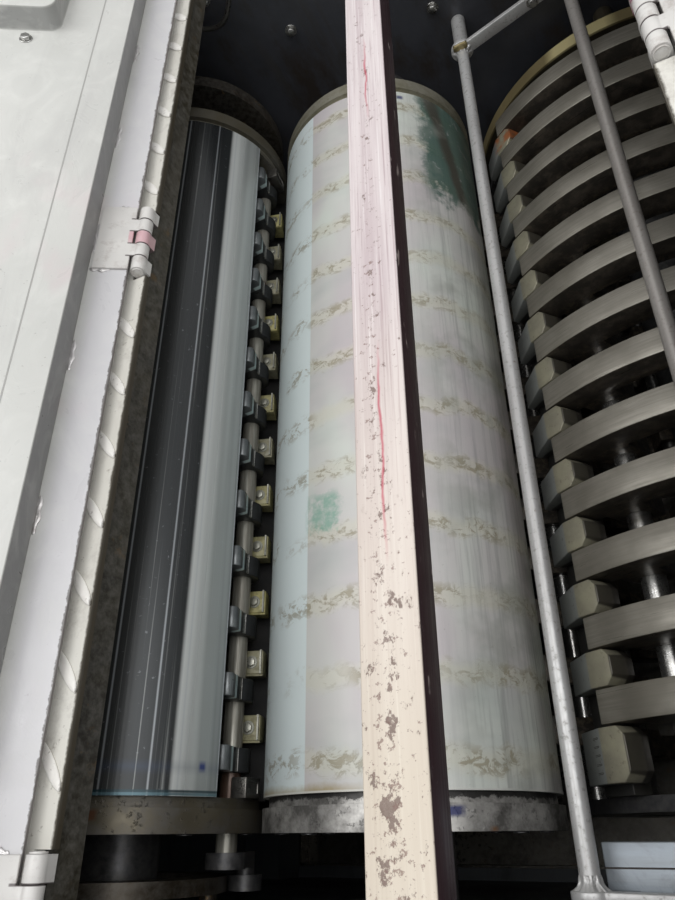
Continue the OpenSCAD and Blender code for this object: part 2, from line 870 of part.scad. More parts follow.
module gripper_cams() {
    placed() color("darkgoldenrod") at(left_c) {
        cam_ring(cam_y0, cam_y0 + roller_w, cam_bore_r, cam_r);
        cam_studs(op_in, cam_y0, (cam_bore_r + cam_r) / 2, stud_r, 3, 30);
        cam_ring(far_cam_y0, far_cam_y1, far_cam_bore_r, far_cam_r);
        cam_studs(far_cam_y1, dr_in, (far_cam_bore_r + far_cam_r) / 2, far_stud_r, 3, 30);
    }
}

module drum_cam() {
    placed() color("darkgoldenrod") at(drum_c) {
        cam_ring(far_cam_y0, far_cam_y1, drum_cam_bore_r, drum_cam_r);
        cam_studs(far_cam_y1, dr_in, (drum_cam_bore_r + drum_cam_r) / 2, drum_stud_r, 4, 0);
    }
}

// The two solid cylinders

shell_y0 = bearer_w + groove_w;
shell_y1 = cylinder_w - bearer_w - groove_w;

module left_shell() {
    placed() color("slategray") at(left_c)
        profile(shell_y0, shell_y1)
            difference() {
                circle(r = shell_r);
                circle(r = channel_r - channel_wall);
                ring_part(channel_r, shell_r + cut, channel_foot, channel_top);
            }
}

module middle_shell() {
    placed() color("lightsteelblue") at(middle_c)
        profile(shell_y0, shell_y1)
            difference() {
                circle(r = shell_r);
                circle(r = shell_r - shell_wall);
            }
}

module bearer_pair() {
    for (y = [[0, bearer_w, bearer_r], [bearer_w, shell_y0, groove_r],
              [cylinder_w - bearer_w, cylinder_w, bearer_r], [shell_y1, cylinder_w - bearer_w, groove_r]])
        difference() {
            rod(y[0], y[1], y[2]);
            rod(y[0] - cut, y[1] + cut, journal_r);
            children();
        }
}

module gripper_axis() {
    rotate([0, -gripper_angle, 0]) translate([gripper_orbit, 0, 0]) children();
}

module left_bearers() {
    placed() color("saddlebrown") at(left_c)
        bearer_pair() gripper_axis() rod(-cut, cylinder_w + cut, gripper_shaft_r + pin_fit);
}

module middle_bearers() {
    placed() color("saddlebrown") at(middle_c) bearer_pair();
}

module left_shaft() {
    placed() color("dimgray") at(left_c) rod(shaft_y0, shaft_y1, journal_r);
}

module middle_shaft() {
    placed() color("dimgray") at(middle_c) rod(shaft_y0, shaft_y1, journal_r);
}

// Corners of a straight-flanked tooth: place in its pitch, and height above the pitch circle in modules
tooth_corners = [[-0.31, -1], [-0.13, 0.8], [0.13, 0.8], [0.31, -1]];

// A gear blank with its teeth
module gear(n, phase, bore) {
    step = 360 / n;
    pitch = gear_module * n / 2;
    profile(gear_y0, gear_y1)
        difference() {
            polygon([for (i = [0 : n - 1], corner = tooth_corners)
                polar(pitch + corner[1] * gear_module, phase + step * (i + corner[0]))]);
            circle(r = bore);
        }
}

module left_gear() {
    placed() color("darkgray") at(left_c) gear(teeth, left_phase, journal_r);
}

module middle_gear() {
    placed() color("darkgray") at(middle_c) gear(teeth, 0, journal_r);
}

module drum_gear() {
    placed() color("darkgray") at(drum_c) gear(2 * teeth, drum_phase, drum_journal_r);
}

// Grippers of the left cylinder

hub_wall = 8;
lever_y = -26;
lever_t = 12;
lever_half = 12;
finger_half = 10;
finger_tip_half = 6;

// Outline of a hub on the gripper shaft with an arm to a point, hub_half and tip_half wide to each side
module arm_outline(tip, hub_half, tip_half) {
    hub = polar(gripper_orbit, gripper_angle);
    along = (tip - hub) / norm(tip - hub);
    across = [-along[1], along[0]];
    difference() {
        union() {
            translate(hub) circle(r = gripper_shaft_r + hub_wall);
            translate(tip) circle(r = tip_half);
            polygon([hub - hub_half * across, tip - tip_half * across,
                tip + tip_half * across, hub + hub_half * across]);
        }
        translate(hub) circle(r = gripper_shaft_r);
    }
}

module gripper_shaft() {
    placed() color("silver") at(left_c) gripper_axis() rod(lever_y, cylinder_w + lever_t, gripper_shaft_r);
}

gripper_n = 1 + floor((cylinder_w - 2 * gripper_y) / gripper_pitch);

module gripper_fingers() {
    tip = polar(finger_tip_r, channel_top - finger_tip_back);
    placed() color("gray") at(left_c)
        for (i = [0 : gripper_n - 1])
            translate([0, gripper_y + i * gripper_pitch, 0])
                profile(-finger_w / 2, finger_w / 2) arm_outline(tip, finger_half, finger_tip_half);
}

// The sheet rests, which stand on the channel's floor halfway between the fingers
module gripper_pads() {
    placed() color("darkkhaki") at(left_c)
        for (i = [0 : gripper_n - 2])
            translate([0, gripper_y + (i + 0.5) * gripper_pitch, 0])
                profile(-pad_w / 2, pad_w / 2) ring_part(channel_r, pad_r, pad_foot, pad_top);
}

module gripper_lever() {
    roller = polar(cam_r + roller_r + roller_gap, gripper_angle - lever_span);
    placed() color("dimgray") at(left_c) {
        profile(lever_y, lever_y + lever_t) arm_outline(roller, lever_half, roller_pin_r);
        at(roller) {
            rod(cam_y0, cam_y0 + roller_w, roller_r);
            rod(cam_y0 + roller_w, lever_y, roller_pin_r);
        }
    }
}

// Skeleton drum

row_n = 1 + floor((cylinder_w - rib_y) / row_pitch);
spider_gap = 3;
spider_y0 = rib_y - rib_w / 2 - row_pitch - spider_gap;
spider_y1 = rib_y + (row_n - 1) * row_pitch + rib_w / 2 + spider_gap;

module drum_shaft() {
    placed() color("dimgray") at(drum_c) rod(shaft_y0, shaft_y1, drum_journal_r);
}

// Angle between a rib's ends and the nearest axial rods
rod_inset = 10;
rod_step = (rib_span - 2 * rod_inset) / (tie_rod_n - 1);
function rod_angles(start) = [for (i = [0 : tie_rod_n - 1]) start - rod_inset - i * rod_step];

window_n = 6;
window_orbit = 120;

module drum_spiders() {
    placed() color("dimgray") at(drum_c)
        for (y = [spider_y0, spider_y1])
            difference() {
                rod(y, y + spider_t, spider_r);
                rod(y - cut, y + spider_t + cut, drum_journal_r);
                for (i = [0 : window_n - 1])
                    rotate([0, i * 360 / window_n, 0]) translate([window_orbit, 0, 0])
                        rod(y - cut, y + spider_t + cut, window_r);
            }
}

// Half the angle that a rib's lug spans
lug_half = 5;
lug_wall = 8;

module rib_set(start) {
    lug_r0 = tie_rod_orbit - tie_rod_r - lug_wall;
    lug_r1 = rib_r - rib_d / 2;
    at(drum_c)
        for (i = [0 : row_n - 1])
            profile(rib_y + i * row_pitch - rib_w / 2, rib_y + i * row_pitch + rib_w / 2)
                difference() {
                    union() {
                        ring_part(rib_r - rib_d, rib_r, start - rib_span, start);
                        for (a = rod_angles(start))
                            ring_part(lug_r0, lug_r1, a - lug_half, a + lug_half);
                    }
                    for (a = rod_angles(start)) translate(polar(tie_rod_orbit, a)) circle(r = tie_rod_r);
                }
}

module drum_ribs_a() {
    placed() color("darkgray") rib_set(rib_start);
}

module drum_ribs_b() {
    placed() color("darkgray") rib_set(rib_start + 180);
}

module drum_rods() {
    placed() color("gray") at(drum_c)
        for (start = [rib_start, rib_start + 180], a = rod_angles(start))
            rotate([0, -a, 0]) translate([tie_rod_orbit, 0, 0])
                rod(spider_y0 + spider_t, spider_y1, tie_rod_r);
}

// One gripper block, at the height where the ribs end: a top between the ribs and a slope past them
module gripper_block(w) {
    r0 = rib_r - block_d;
    intersection() {
        profile(-w / 2, w / 2)
            polygon([[r0, -block_lead], [rib_r - block_sink, -block_lead], [rib_r, block_ridge],
                [rib_r - block_fall, block_tail], [r0, block_tail]]);
        translate([r0 - cut, 0, 0]) rotate([90, 0, 90]) linear_extrude(block_d + 2 * cut)
            polygon([[-w / 2, block_tail], [-w / 2, block_chamfer - block_lead],
                [block_chamfer - w / 2, -block_lead], [w / 2 - block_chamfer, -block_lead],
                [w / 2, block_chamfer - block_lead], [w / 2, block_tail]]);
    }
}

// Gripper blocks between the ribs, on a bar that lies past the ribs' ends
block_sink = 1;
bar_past_ribs = 1;

module block_row(start) {
    first = rib_y - row_pitch / 2;
    rotate([0, -start, 0])
        for (i = [0 : row_n - 1]) {
            w = i == 0 ? first_block_w : block_w;
            y = i == 0 ? first - (first_block_w - block_w) / 2 : first + i * row_pitch;
            translate([0, y, 0]) gripper_block(w);
        }
    profile(spider_y0 + spider_t, spider_y1)
        ring_part(rib_r - block_d - block_bar_t, rib_r - block_d,
            start + bar_past_ribs, start + bar_past_ribs + block_bar_span);
}

module drum_blocks() {
    placed() color("darkkhaki") at(drum_c) {
        block_row(rib_start);
        block_row(rib_start + 180);
    }
}

base_beams();
levelling_feet();
operator_side_frame();
drive_side_frame();
cross_ties();
end_panels();
oil_pan();
operator_cover();
cover_handles();
control_box();
push_buttons();
gear_case();
left_deck();
right_deck();
deck_sills();
deck_edge_walls();
deck_hinges();
support_bar();
bar_brackets();
guard_rods();
guard_arms();
ledge_rail();
gripper_cams();
drum_cam();
bearing_flanges();
flap_rests();
left_shell();
left_bearers();
left_shaft();
left_gear();
gripper_shaft();
gripper_fingers();
gripper_pads();
gripper_lever();
middle_shell();
middle_bearers();
middle_shaft();
middle_gear();
drum_shaft();
drum_spiders();
drum_ribs_a();
drum_ribs_b();
drum_blocks();
drum_rods();
drum_gear();
left_flap_plate();
left_flap_pan();
left_flap_hinges();
right_flap_plate();
right_flap_pan();
right_flap_hinges();
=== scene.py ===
import math
import random

import bmesh
import bpy
from mathutils import Matrix, Vector


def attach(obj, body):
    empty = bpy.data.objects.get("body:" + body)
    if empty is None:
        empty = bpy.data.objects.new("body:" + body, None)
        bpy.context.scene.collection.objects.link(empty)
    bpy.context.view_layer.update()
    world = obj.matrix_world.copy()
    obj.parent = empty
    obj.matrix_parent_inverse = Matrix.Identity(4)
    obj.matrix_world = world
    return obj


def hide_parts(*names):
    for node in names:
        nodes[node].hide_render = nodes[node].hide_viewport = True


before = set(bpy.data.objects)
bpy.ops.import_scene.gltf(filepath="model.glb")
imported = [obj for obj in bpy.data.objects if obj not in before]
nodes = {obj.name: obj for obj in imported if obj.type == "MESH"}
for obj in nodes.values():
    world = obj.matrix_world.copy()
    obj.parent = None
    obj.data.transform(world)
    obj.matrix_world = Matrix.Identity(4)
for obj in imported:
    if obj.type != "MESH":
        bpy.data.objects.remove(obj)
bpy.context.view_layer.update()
scene = bpy.context.scene

# Places along the press are given from the operator side bearers' outer faces, as in the drawings.
MIDDLE = 0.4435
BEARER_WIDTH = 0.833
LEFT_AXIS = (-0.35457, 0.6825)
MIDDLE_AXIS = (-0.108, 0.6)
DRUM_AXIS = (0.21721, 0.38475)
OPERATOR_FACE = -0.060 - MIDDLE
DRIVE_FACE = 0.950 - MIDDLE
DECK_TOP = 0.902
LEFT_EDGE = 0.204
RIGHT_EDGE = 0.199
LEFT_HINGE = 0.20975
RIGHT_HINGE = 0.20475
HINGE_Z = 0.906
HINGE_PLACES = (-0.4885, 0.0115, 0.5115)
HINGE_PITCH = 0.5
KNUCKLE = 0.0144
LEFT_LEAN = math.radians(30)
DEGREES = 180 / math.pi
QUARTER_TURN = math.pi / 2
RIB_RADIUS = 0.255
RIB_PITCH = 0.061
ROLLER_RADIUS = 0.127
FIRST_RIB = 0.090 - MIDDLE
GRIPPER_PITCH = 0.0595
FIRST_GRIPPER = 0.0565 - MIDDLE


def tone(red, green, blue):
    """A display colour, 0 to 255, as the linear values that a shader takes."""
    shown = [value / 255 for value in (red, green, blue)]
    return tuple(v / 12.92 if v <= 0.04045 else ((v + 0.055) / 1.055) ** 2.4 for v in shown) + (1.0,)


def worked(operation, turned=False):
    """An operator between two values of a finish, the second one first where it is turned."""
    def work(value, other):
        pair = (other, value) if turned else (value, other)
        return value.maths(operation, *pair)
    return work


class Signal:
    """A value running through a finish, so that a pattern is written as a sum."""

    def __init__(self, finish, socket):
        self.finish = finish
        self.socket = socket

    def maths(self, operation, *values):
        return self.finish.add("ShaderNodeMath", {"operation": operation}, dict(enumerate(values)))

    def __abs__(self):
        return self.maths("ABSOLUTE", self)

    def part(self):
        """What is left over the whole number below."""
        return self.maths("FRACT", self)

    __add__ = worked("ADD")
    __radd__ = worked("ADD", True)
    __sub__ = worked("SUBTRACT")
    __rsub__ = worked("SUBTRACT", True)
    __mul__ = worked("MULTIPLY")
    __truediv__ = worked("DIVIDE")


class Finish:
    """One finish of the press, built up from patterns on the piece's own coordinates."""

    def __init__(self, name, roughness=0.5, metallic=0.0):
        self.made = bpy.data.materials.new(name)
        self.made.use_nodes = True
        self.tree = self.made.node_tree
        self.shader = self.tree.nodes["Principled BSDF"]
        self.shader.inputs["Roughness"].default_value = roughness
        self.shader.inputs["Metallic"].default_value = metallic
        self.place = self.add("ShaderNodeTexCoord", {}, {}, "Object")
        self.x = self.add("ShaderNodeSeparateXYZ", {}, {0: self.place}, "X")
        self.y = Signal(self, self.x.socket.node.outputs["Y"])
        self.z = Signal(self, self.x.socket.node.outputs["Z"])

    def add(self, kind, settings, inputs, output=0):
        node = self.tree.nodes.new(kind)
        for name, value in settings.items():
            if name == "stops":
                while len(node.color_ramp.elements) < len(value):
                    node.color_ramp.elements.new(0.5)
                for element, (position, colour) in zip(node.color_ramp.elements, value):
                    element.position = position
                    element.color = tone(*colour)
            else:
                setattr(node, name, value)
        for name, value in inputs.items():
            if isinstance(value, Signal):
                self.tree.links.new(value.socket, node.inputs[name])
            else:
                node.inputs[name].default_value = value
        return Signal(self, node.outputs[output])

    def grain(self, scale, detail=3.0, rough=0.55, stretch=(1, 1, 1), shift=(0, 0, 0),
              twist=0.0, rolled=None):
        """Cloudy noise from 0 to 1, in the piece's space or stretched over its unrolled surface."""
        if rolled:
            along = self.add("ShaderNodeVectorMath", {"operation": "MULTIPLY"}, {0: self.surface, 1: rolled})
        else:
            inputs = {"Vector": self.place, "Location": shift, "Scale": stretch}
            along = self.add("ShaderNodeMapping", {}, inputs)
        inputs = {"Vector": along, "Scale": scale, "Detail": detail, "Roughness": rough, "Distortion": twist}
        return self.add("ShaderNodeTexNoise", {}, inputs, "Fac")

    def mottle(self, low, high, *scale, **settings):
        """Cloudy noise, spread so that its values from low to high run from 0 to 1."""
        return self.fade(self.grain(*scale, **settings), low, high)

    def fade(self, signal, low, high, out_low=0.0, out_high=1.0):
        """The signal's way from low to high as 0 to 1, held at both ends."""
        inputs = {"Value": signal, "From Min": low, "From Max": high, "To Min": out_low, "To Max": out_high}
        return self.add("ShaderNodeMapRange", {"clamp": True}, inputs)

    def sheen(self, signal, low, high):
        """A roughness between two values, by a cloudy pattern."""
        return self.fade(signal, 0.3, 0.7, low, high)

    def between(self, signal, low, high, soft):
        """1 where the signal lies between low and high, with soft ends."""
        return self.fade(signal, low - soft, low + soft) * self.fade(signal, high + soft, high - soft)

    def tint(self, amount, ground, laid):
        """The second colour laid over the first by the amount; plain colours are given as shown, 0 to 255."""
        ground, laid = (tone(*shade) if isinstance(shade, tuple) else shade for shade in (ground, laid))
        return self.add("ShaderNodeMix", {"data_type": "RGBA"}, {0: amount, 6: ground, 7: laid}, 2)

    def ground(self, signal, low, high, *shades):
        """The first colour of a finish, between two shades by a pattern."""
        self.colour = self.tint(self.fade(signal, low, high), *shades)

    def lay(self, amount, *shade):
        """Lays a colour over the finish by the amount: three display values, or one that is made already."""
        self.colour = self.tint(amount, self.colour, shade if len(shade) == 3 else shade[0])

    def ramp(self, signal, *stops):
        return self.add("ShaderNodeValToRGB", {"stops": stops}, {0: signal})

    def around(self, axis):
        """Angle in degrees about an axis along the press, and distance from it."""
        across = self.x - axis[0]
        up = self.z - axis[1]
        angle = across.maths("ARCTAN2", up, across) * DEGREES
        square = across * across + up * up
        return angle, square.maths("SQRT", square)

    def unroll(self, axis, radius):
        """The same, and sets the surface's coordinates: round it, along it and out from it, in metres."""
        angle, reach = self.around(axis)
        inputs = {0: angle * (radius / DEGREES), 1: self.y, 2: reach}
        self.surface = self.add("ShaderNodeCombineXYZ", {}, inputs)
        return angle, reach

    def finish(self, roughness=None, height=None, depth=0.001, strength=0.5, metallic=None):
        """The finished material: the running colour, with a relief from the height."""
        for name, value in (("Base Color", self.colour), ("Roughness", roughness), ("Metallic", metallic)):
            if value is not None:
                self.tree.links.new(value.socket, self.shader.inputs[name])
        if height is not None:
            bump = self.add("ShaderNodeBump", {}, {"Strength": strength, "Distance": depth, "Height": height})
            self.tree.links.new(bump.socket, self.shader.inputs["Normal"])
        return self.made


# Finishes

def worn_paint(name, ground, shade, dirt, roughness=0.42, dirt_share=0.5, seed=0.0, metal_chips=0.0):
    """Brushed or sprayed paint with slow colour drift, wiped dirt, fine orange peel and a few chips."""
    f = Finish(name, roughness)
    drift = f.mottle(0.35, 0.7, 3.5, 4, 0.6, shift=(seed, 0, 0))
    f.colour = f.tint(drift, ground, shade)
    smear = f.grain(9, 6, 0.7, stretch=(1.6, 0.5, 1), shift=(0, seed, 0), twist=0.8)
    spots = f.mottle(0.62, 0.75, 120, 4, 0.7, shift=(0, 0, seed))
    soil = f.fade(smear, 0.52, 0.74) * dirt_share + spots * (0.35 * dirt_share)
    f.lay(soil.maths("MINIMUM", soil, 0.9), dirt)
    rough = f.sheen(smear, roughness - 0.08, roughness + 0.18)
    if metal_chips:
        chips = f.mottle(0.68, 0.70, 70, 5, 0.75, shift=(seed, seed, 0)) * metal_chips
        f.lay(chips, 70, 62, 55)
    peel = f.grain(420, 2, 0.5) * 0.4 + smear * 0.6
    return f.finish(rough, peel, 0.0006, 0.35)


def oily_iron(name, ground, shade, oil, roughness=0.38, metallic=0.55, seed=0.0, rust=None,
              rust_share=0.3, brushed=(1, 1, 1)):
    """Cast or machined iron under a film of oil, with grain, grime clouds and rust."""
    f = Finish(name, roughness, metallic)
    cloud = f.grain(6, 5, 0.62, shift=(seed, 0, seed))
    fine = f.grain(160, 4, 0.65, stretch=brushed)
    f.ground(cloud, 0.35, 0.68, ground, shade)
    f.lay(f.mottle(0.5, 0.68, 17, 6, 0.72, shift=(0, seed, 0), twist=0.5) * 0.85, oil)
    f.lay(f.fade(fine, 0.35, 0.7) * 0.25, 150, 148, 142)
    if rust is not None:
        spots = f.mottle(0.6, 0.68, 38, 6, 0.75, shift=(seed, seed, 0)) * rust_share
        f.lay(spots, rust)
    rough = f.sheen(cloud * 0.6 + fine * 0.4, roughness - 0.12, roughness + 0.22)
    return f.finish(rough, fine, 0.0005, 0.4)


def plate_film():
    """The left cylinder's plate: a dark mirror with lengthwise bands of painted reflection and painted
    highlight lines, film edges and an ink spot.
    """
    f = Finish("plate_film", 0.24)
    angle, reach = f.unroll(LEFT_AXIS, ROLLER_RADIUS)
    slow = f.grain(1, 2, 0.5, rolled=(34, 0.5, 0))
    lines = f.grain(1, 3, 0.6, rolled=(260, 0.7, 0))
    # Painted reflection: the colour runs round the plate through dark and pale bands, pale where overhead
    # light is mirrored
    bands = ((0.00, (104, 107, 107)), (0.12, (150, 154, 154)), (0.17, (222, 228, 226)),
             (0.34, (244, 248, 246)), (0.36, (52, 55, 56)), (0.50, (40, 43, 45)), (0.62, (62, 63, 62)),
             (0.74, (44, 46, 47)), (0.86, (104, 102, 100)), (1.0, (60, 60, 59)))
    f.colour = f.ramp(f.fade(angle, 5, 85), *bands)
    f.lay(f.fade(slow, 0.4, 0.66) * 0.6, 50, 54, 56)
    # Pale lengthwise lines of painted reflection
    f.lay(f.fade(lines, 0.60, 0.70) * 0.45, 214, 218, 216)
    # Painted highlight lines along the plate at four angles
    for edge in (14.2, 30.5, 41.0, 57.5):
        painted_highlight_line = f.between(angle, edge - 0.25, edge + 0.25, 0.3)
        f.lay(painted_highlight_line * 0.6, 214, 220, 225)
    near_end = f.between(f.y, -0.4172, -0.4150, 0.0004)
    f.lay(near_end * 0.85, 88, 120, 130)
    under_film = f.between(f.y, -0.4150, -0.4132, 0.0004)
    f.lay(under_film * 0.9, 34, 62, 70)
    f.lay(f.between(f.y, -0.400, -0.394, 0.003) * 0.22, 60, 78, 110)
    ink = f.between(angle, 20.0, 22.5, 0.5) * f.between(f.y, -0.399, -0.393, 0.002)
    f.lay(ink * 0.9, 34, 52, 116)
    f.lay(f.mottle(0.66, 0.74, 210, 3, 0.7) * 0.25, 190, 196, 202)
    # Inside the gripper channel the cylinder is bare and oily, and painted shade makes it near black
    bare = f.fade(reach + f.fade(angle, 13.6, 13.9, -1, 0), 0.1262, 0.1258)
    inner = f.tint(f.mottle(0.4, 0.65, 60, 5, 0.7), (14, 14, 15), (30, 28, 25))
    f.lay(bare, inner)
    rough = f.fade(slow, 0.3, 0.7, 0.20, 0.34) + bare * 0.4
    return f.finish(rough, lines, 0.0003, 0.2, (1 - bare) * 0.35)


def jacket():
    """The middle cylinder's jacket: pale grey, blotched at the ribs' pitch, with ink and a gold line."""
    f = Finish("jacket", 0.36, 0.05)
    angle, reach = f.unroll(MIDDLE_AXIS, ROLLER_RADIUS)
    zone = f.grain(1, 3, 0.5, rolled=(9, 4, 0))
    f.ground(zone, 0.36, 0.66, (218, 224, 216), (214, 206, 204))
    slow = f.grain(1, 4, 0.6, rolled=(5, 11, 0))
    f.lay(f.fade(slow, 0.5, 0.72) * 0.7, 186, 196, 190)
    strip = f.fade(angle, 106.8, 107.2)
    f.lay(strip * 0.9, 226, 238, 238)
    streaks = f.grain(1, 5, 0.7, rolled=(150, 6, 0))
    right_side = f.fade(angle, 62, 36)
    f.lay(f.fade(streaks, 0.48, 0.66) * right_side * 0.6, 138, 143, 138)
    # Curved blotches in rows, one row for each rib that rolls past
    row = (f.y - FIRST_RIB) / RIB_PITCH + f.grain(1, 3, 0.6, rolled=(26, 6, 0)) * 0.42
    phase = abs(row.part() - 0.5)
    rows = f.fade(phase, 0.20, 0.07)
    torn = f.mottle(0.50, 0.56, 1, 6, 0.75, rolled=(75, 120, 0), twist=0.6)
    patchy = f.mottle(0.36, 0.50, 1, 2, 0.5, rolled=(16, 13, 0))
    body = 1 - strip
    f.lay(rows * body * 0.38, 210, 205, 184)
    f.lay((1 - rows) * body * f.fade(zone, 0.38, 0.6) * 0.45, 190, 182, 190)
    f.lay(rows * torn * patchy * 0.62, 138, 126, 94)
    flecks = f.mottle(0.65, 0.69, 1, 5, 0.8, rolled=(190, 190, 0))
    f.lay(flecks * f.fade(angle, 70, 30) * 0.8, 96, 92, 74)
    # Green ink smears
    warp = f.grain(1, 5, 0.7, rolled=(40, 40, 0))
    smear = f.between(angle + warp * 14, 99, 114, 1.5) * f.between(f.y + warp * 0.04, -0.190, -0.156, 0.003)
    f.lay(smear * f.fade(warp, 0.36, 0.52) * 0.8, 134, 178, 160)
    corner = f.between(angle + warp * 26, 4, 56, 3.0) * f.between(f.y + warp * 0.13, 0.262, 0.50, 0.012)
    f.lay(corner * f.fade(warp, 0.30, 0.42) * 0.9, 66, 100, 90)
    scraped = f.between(angle - (f.y - 0.30) * 120 + warp * 8, 28, 37, 2.0)
    f.lay(corner * scraped * 0.85, 78, 72, 64)
    f.lay(f.between(angle, 52.5, 56, 0.7) * f.between(f.y, 0.350, 0.356, 0.0015) * 0.85, 44, 54, 110)
    # The gold and rust line at the near end
    gold = f.fade(f.y + warp * 0.009, -0.4060, -0.4120) * f.fade(angle, 78, 92)
    f.lay(gold * 0.75, 160, 140, 84)
    f.lay(f.fade(f.y, -0.4158, -0.4164) * 0.8, 216, 216, 210)
    # Grey clouds towards the delivery side
    clouds = f.grain(1, 4, 0.6, rolled=(12, 14, 0))
    f.lay(f.fade(clouds, 0.50, 0.62) * right_side * 0.5, 156, 160, 152)
    rough = f.fade(zone + streaks * 0.4, 0.4, 0.9, 0.30, 0.48)
    return f.finish(rough, torn * rows + streaks * 0.4, 0.0006, 0.3)


def bearer_face(name, axis, rim, patch, edge_share):
    """A bearer's end face and rim: spotted grey iron with a flaked black edge."""
    f = Finish(name, 0.42, 0.5)
    angle, reach = f.around(axis)
    cloud = f.grain(24, 5, 0.7)
    f.ground(cloud, 0.4, 0.62, rim, (96, 94, 91))
    spots = f.mottle(0.58, 0.66, 150, 4, 0.7)
    f.lay(spots * 0.45, 48, 46, 45)
    inner_edge = f.fade(f.grain(75, 6, 0.8) * 0.016 - f.y, 0.4300, 0.4285) * f.fade(f.y, 0.0, -0.1)
    far_rim = f.fade(f.y, 0.0, 0.1)
    f.lay(far_rim * 0.7 * edge_share, 156, 152, 128)
    far_line = f.between(f.y, 0.3694, 0.3712, 0.0003)
    f.lay(far_line * edge_share, 206, 204, 190)
    f.lay(inner_edge * edge_share, 20, 18, 18)
    f.lay(f.fade(abs(f.y), 0.4432, 0.4434) * 0.8, 38, 36, 35)
    start, end, stain = patch
    near = f.between(f.y + cloud * 0.006, -0.4315, -0.4245, 0.0012)
    blotch = f.between(angle + cloud * 8, start, end, 1.0) * near
    f.lay(blotch * 0.9, *stain)
    rust = f.between(angle + cloud * 4, 43, 45.0, 0.8) * f.between(f.y, -0.4436, -0.4405, 0.0010)
    f.lay(rust * (0.7 * edge_share * edge_share), 140, 96, 52)
    return f.finish(f.sheen(cloud, 0.3, 0.6), spots, 0.0005, 0.4)


def bar_paint():
    """The support bar: pinkish white with lengthwise streaks, red scratches and rust."""
    f = Finish("bar_paint", 0.38)
    streaks = f.grain(60, 5, 0.65, stretch=(9, 0.12, 9))
    wide = f.grain(22, 4, 0.6, stretch=(4, 0.14, 4))
    f.ground(wide, 0.38, 0.62, (192, 178, 180), (212, 202, 202))
    f.lay(f.fade(streaks, 0.55, 0.68) * 0.7, 230, 224, 224)
    f.lay(f.fade(streaks, 0.44, 0.34) * 0.6, 160, 136, 142)
    near = f.fade(f.y, 0.05, -0.45)
    f.lay(f.fade(f.y, -0.12, -0.42) * 0.7, 214, 204, 182)
    coarse = f.grain(105, 6, 0.72, stretch=(1.2, 0.8, 1.2))
    fine = f.grain(260, 5, 0.75)
    wander = f.grain(9, 3, 0.6, stretch=(0.2, 1, 0.2)) * 0.016
    middle_line = f.fade(abs(f.x + wander - 0.0115), 0.012, 0.002)
    rust_mark = f.fade(coarse + near * 0.060 + middle_line * 0.080, 0.680, 0.71)
    f.lay(rust_mark * 0.85, 112, 92, 84)
    speckle = f.fade(fine + near * 0.05 + middle_line * 0.06, 0.66, 0.70)
    ochre = f.mottle(0.72, 0.76, 40, 2, 0.5) * near
    f.lay(ochre * 0.8, 196, 158, 82)
    f.lay(speckle * 0.75, 122, 96, 88)
    red = f.between(f.x + f.grain(30, 3, 0.6) * 0.006, 0.0085, 0.0100, 0.0005)
    red_places = f.between(f.y, -0.30, -0.19, 0.02) + f.between(f.y, 0.06, 0.13, 0.02)
    f.lay(red * red_places * 0.75, 178, 44, 74)
    # The right side is dark with old ink
    side = f.fade(f.x, 0.0218, 0.0222)
    flecked = f.mottle(0.66, 0.7, 120, 3, 0.6, stretch=(1, 0.35, 1))
    ink = f.tint(flecked * 0.8, (50, 34, 38), (160, 148, 144))
    top_lip = f.fade(f.z, 0.9028, 0.9018)
    f.lay(side * top_lip, ink)
    return f.finish(f.sheen(streaks, 0.28, 0.5), f.fade(coarse, 0.6, 0.72), 0.0006, 0.5)


def rib_steel():
    """Satin brown-grey ribs: brushed round the drum, worn bright on top, oily and speckled on their sides,
    which are also darkened by painted shade.
    """
    f = Finish("rib_steel", 0.32, 0.35)
    angle, reach = f.unroll(DRUM_AXIS, RIB_RADIUS)
    brushed = f.grain(1, 4, 0.6, rolled=(18, 420, 300))
    cloud = f.grain(1, 4, 0.6, rolled=(14, 16, 20))
    f.ground(cloud, 0.35, 0.65, (150, 146, 136), (122, 118, 108))
    f.lay(f.fade(brushed, 0.38, 0.66) * 0.4, 98, 93, 84)
    lower_edge = f.fade(reach, 0.2549, 0.2546) * f.fade(reach, 0.2540, 0.2542)
    f.lay(lower_edge * 0.5, 186, 180, 160)
    # The sides are darkened by oil and by painted shade
    sides = f.fade(reach, 0.2546, 0.2536)
    oil = f.tint(f.mottle(0.45, 0.62, 70, 5, 0.7), (58, 53, 48), (92, 84, 74))
    f.lay(sides * 0.9, oil)
    f.lay(f.fade(reach, 0.236, 0.228) * f.mottle(0.5, 0.6, 150, 4, 0.75) * 0.6, 128, 116, 98)
    return f.finish(f.sheen(brushed, 0.26, 0.44), brushed, 0.0003, 0.25)


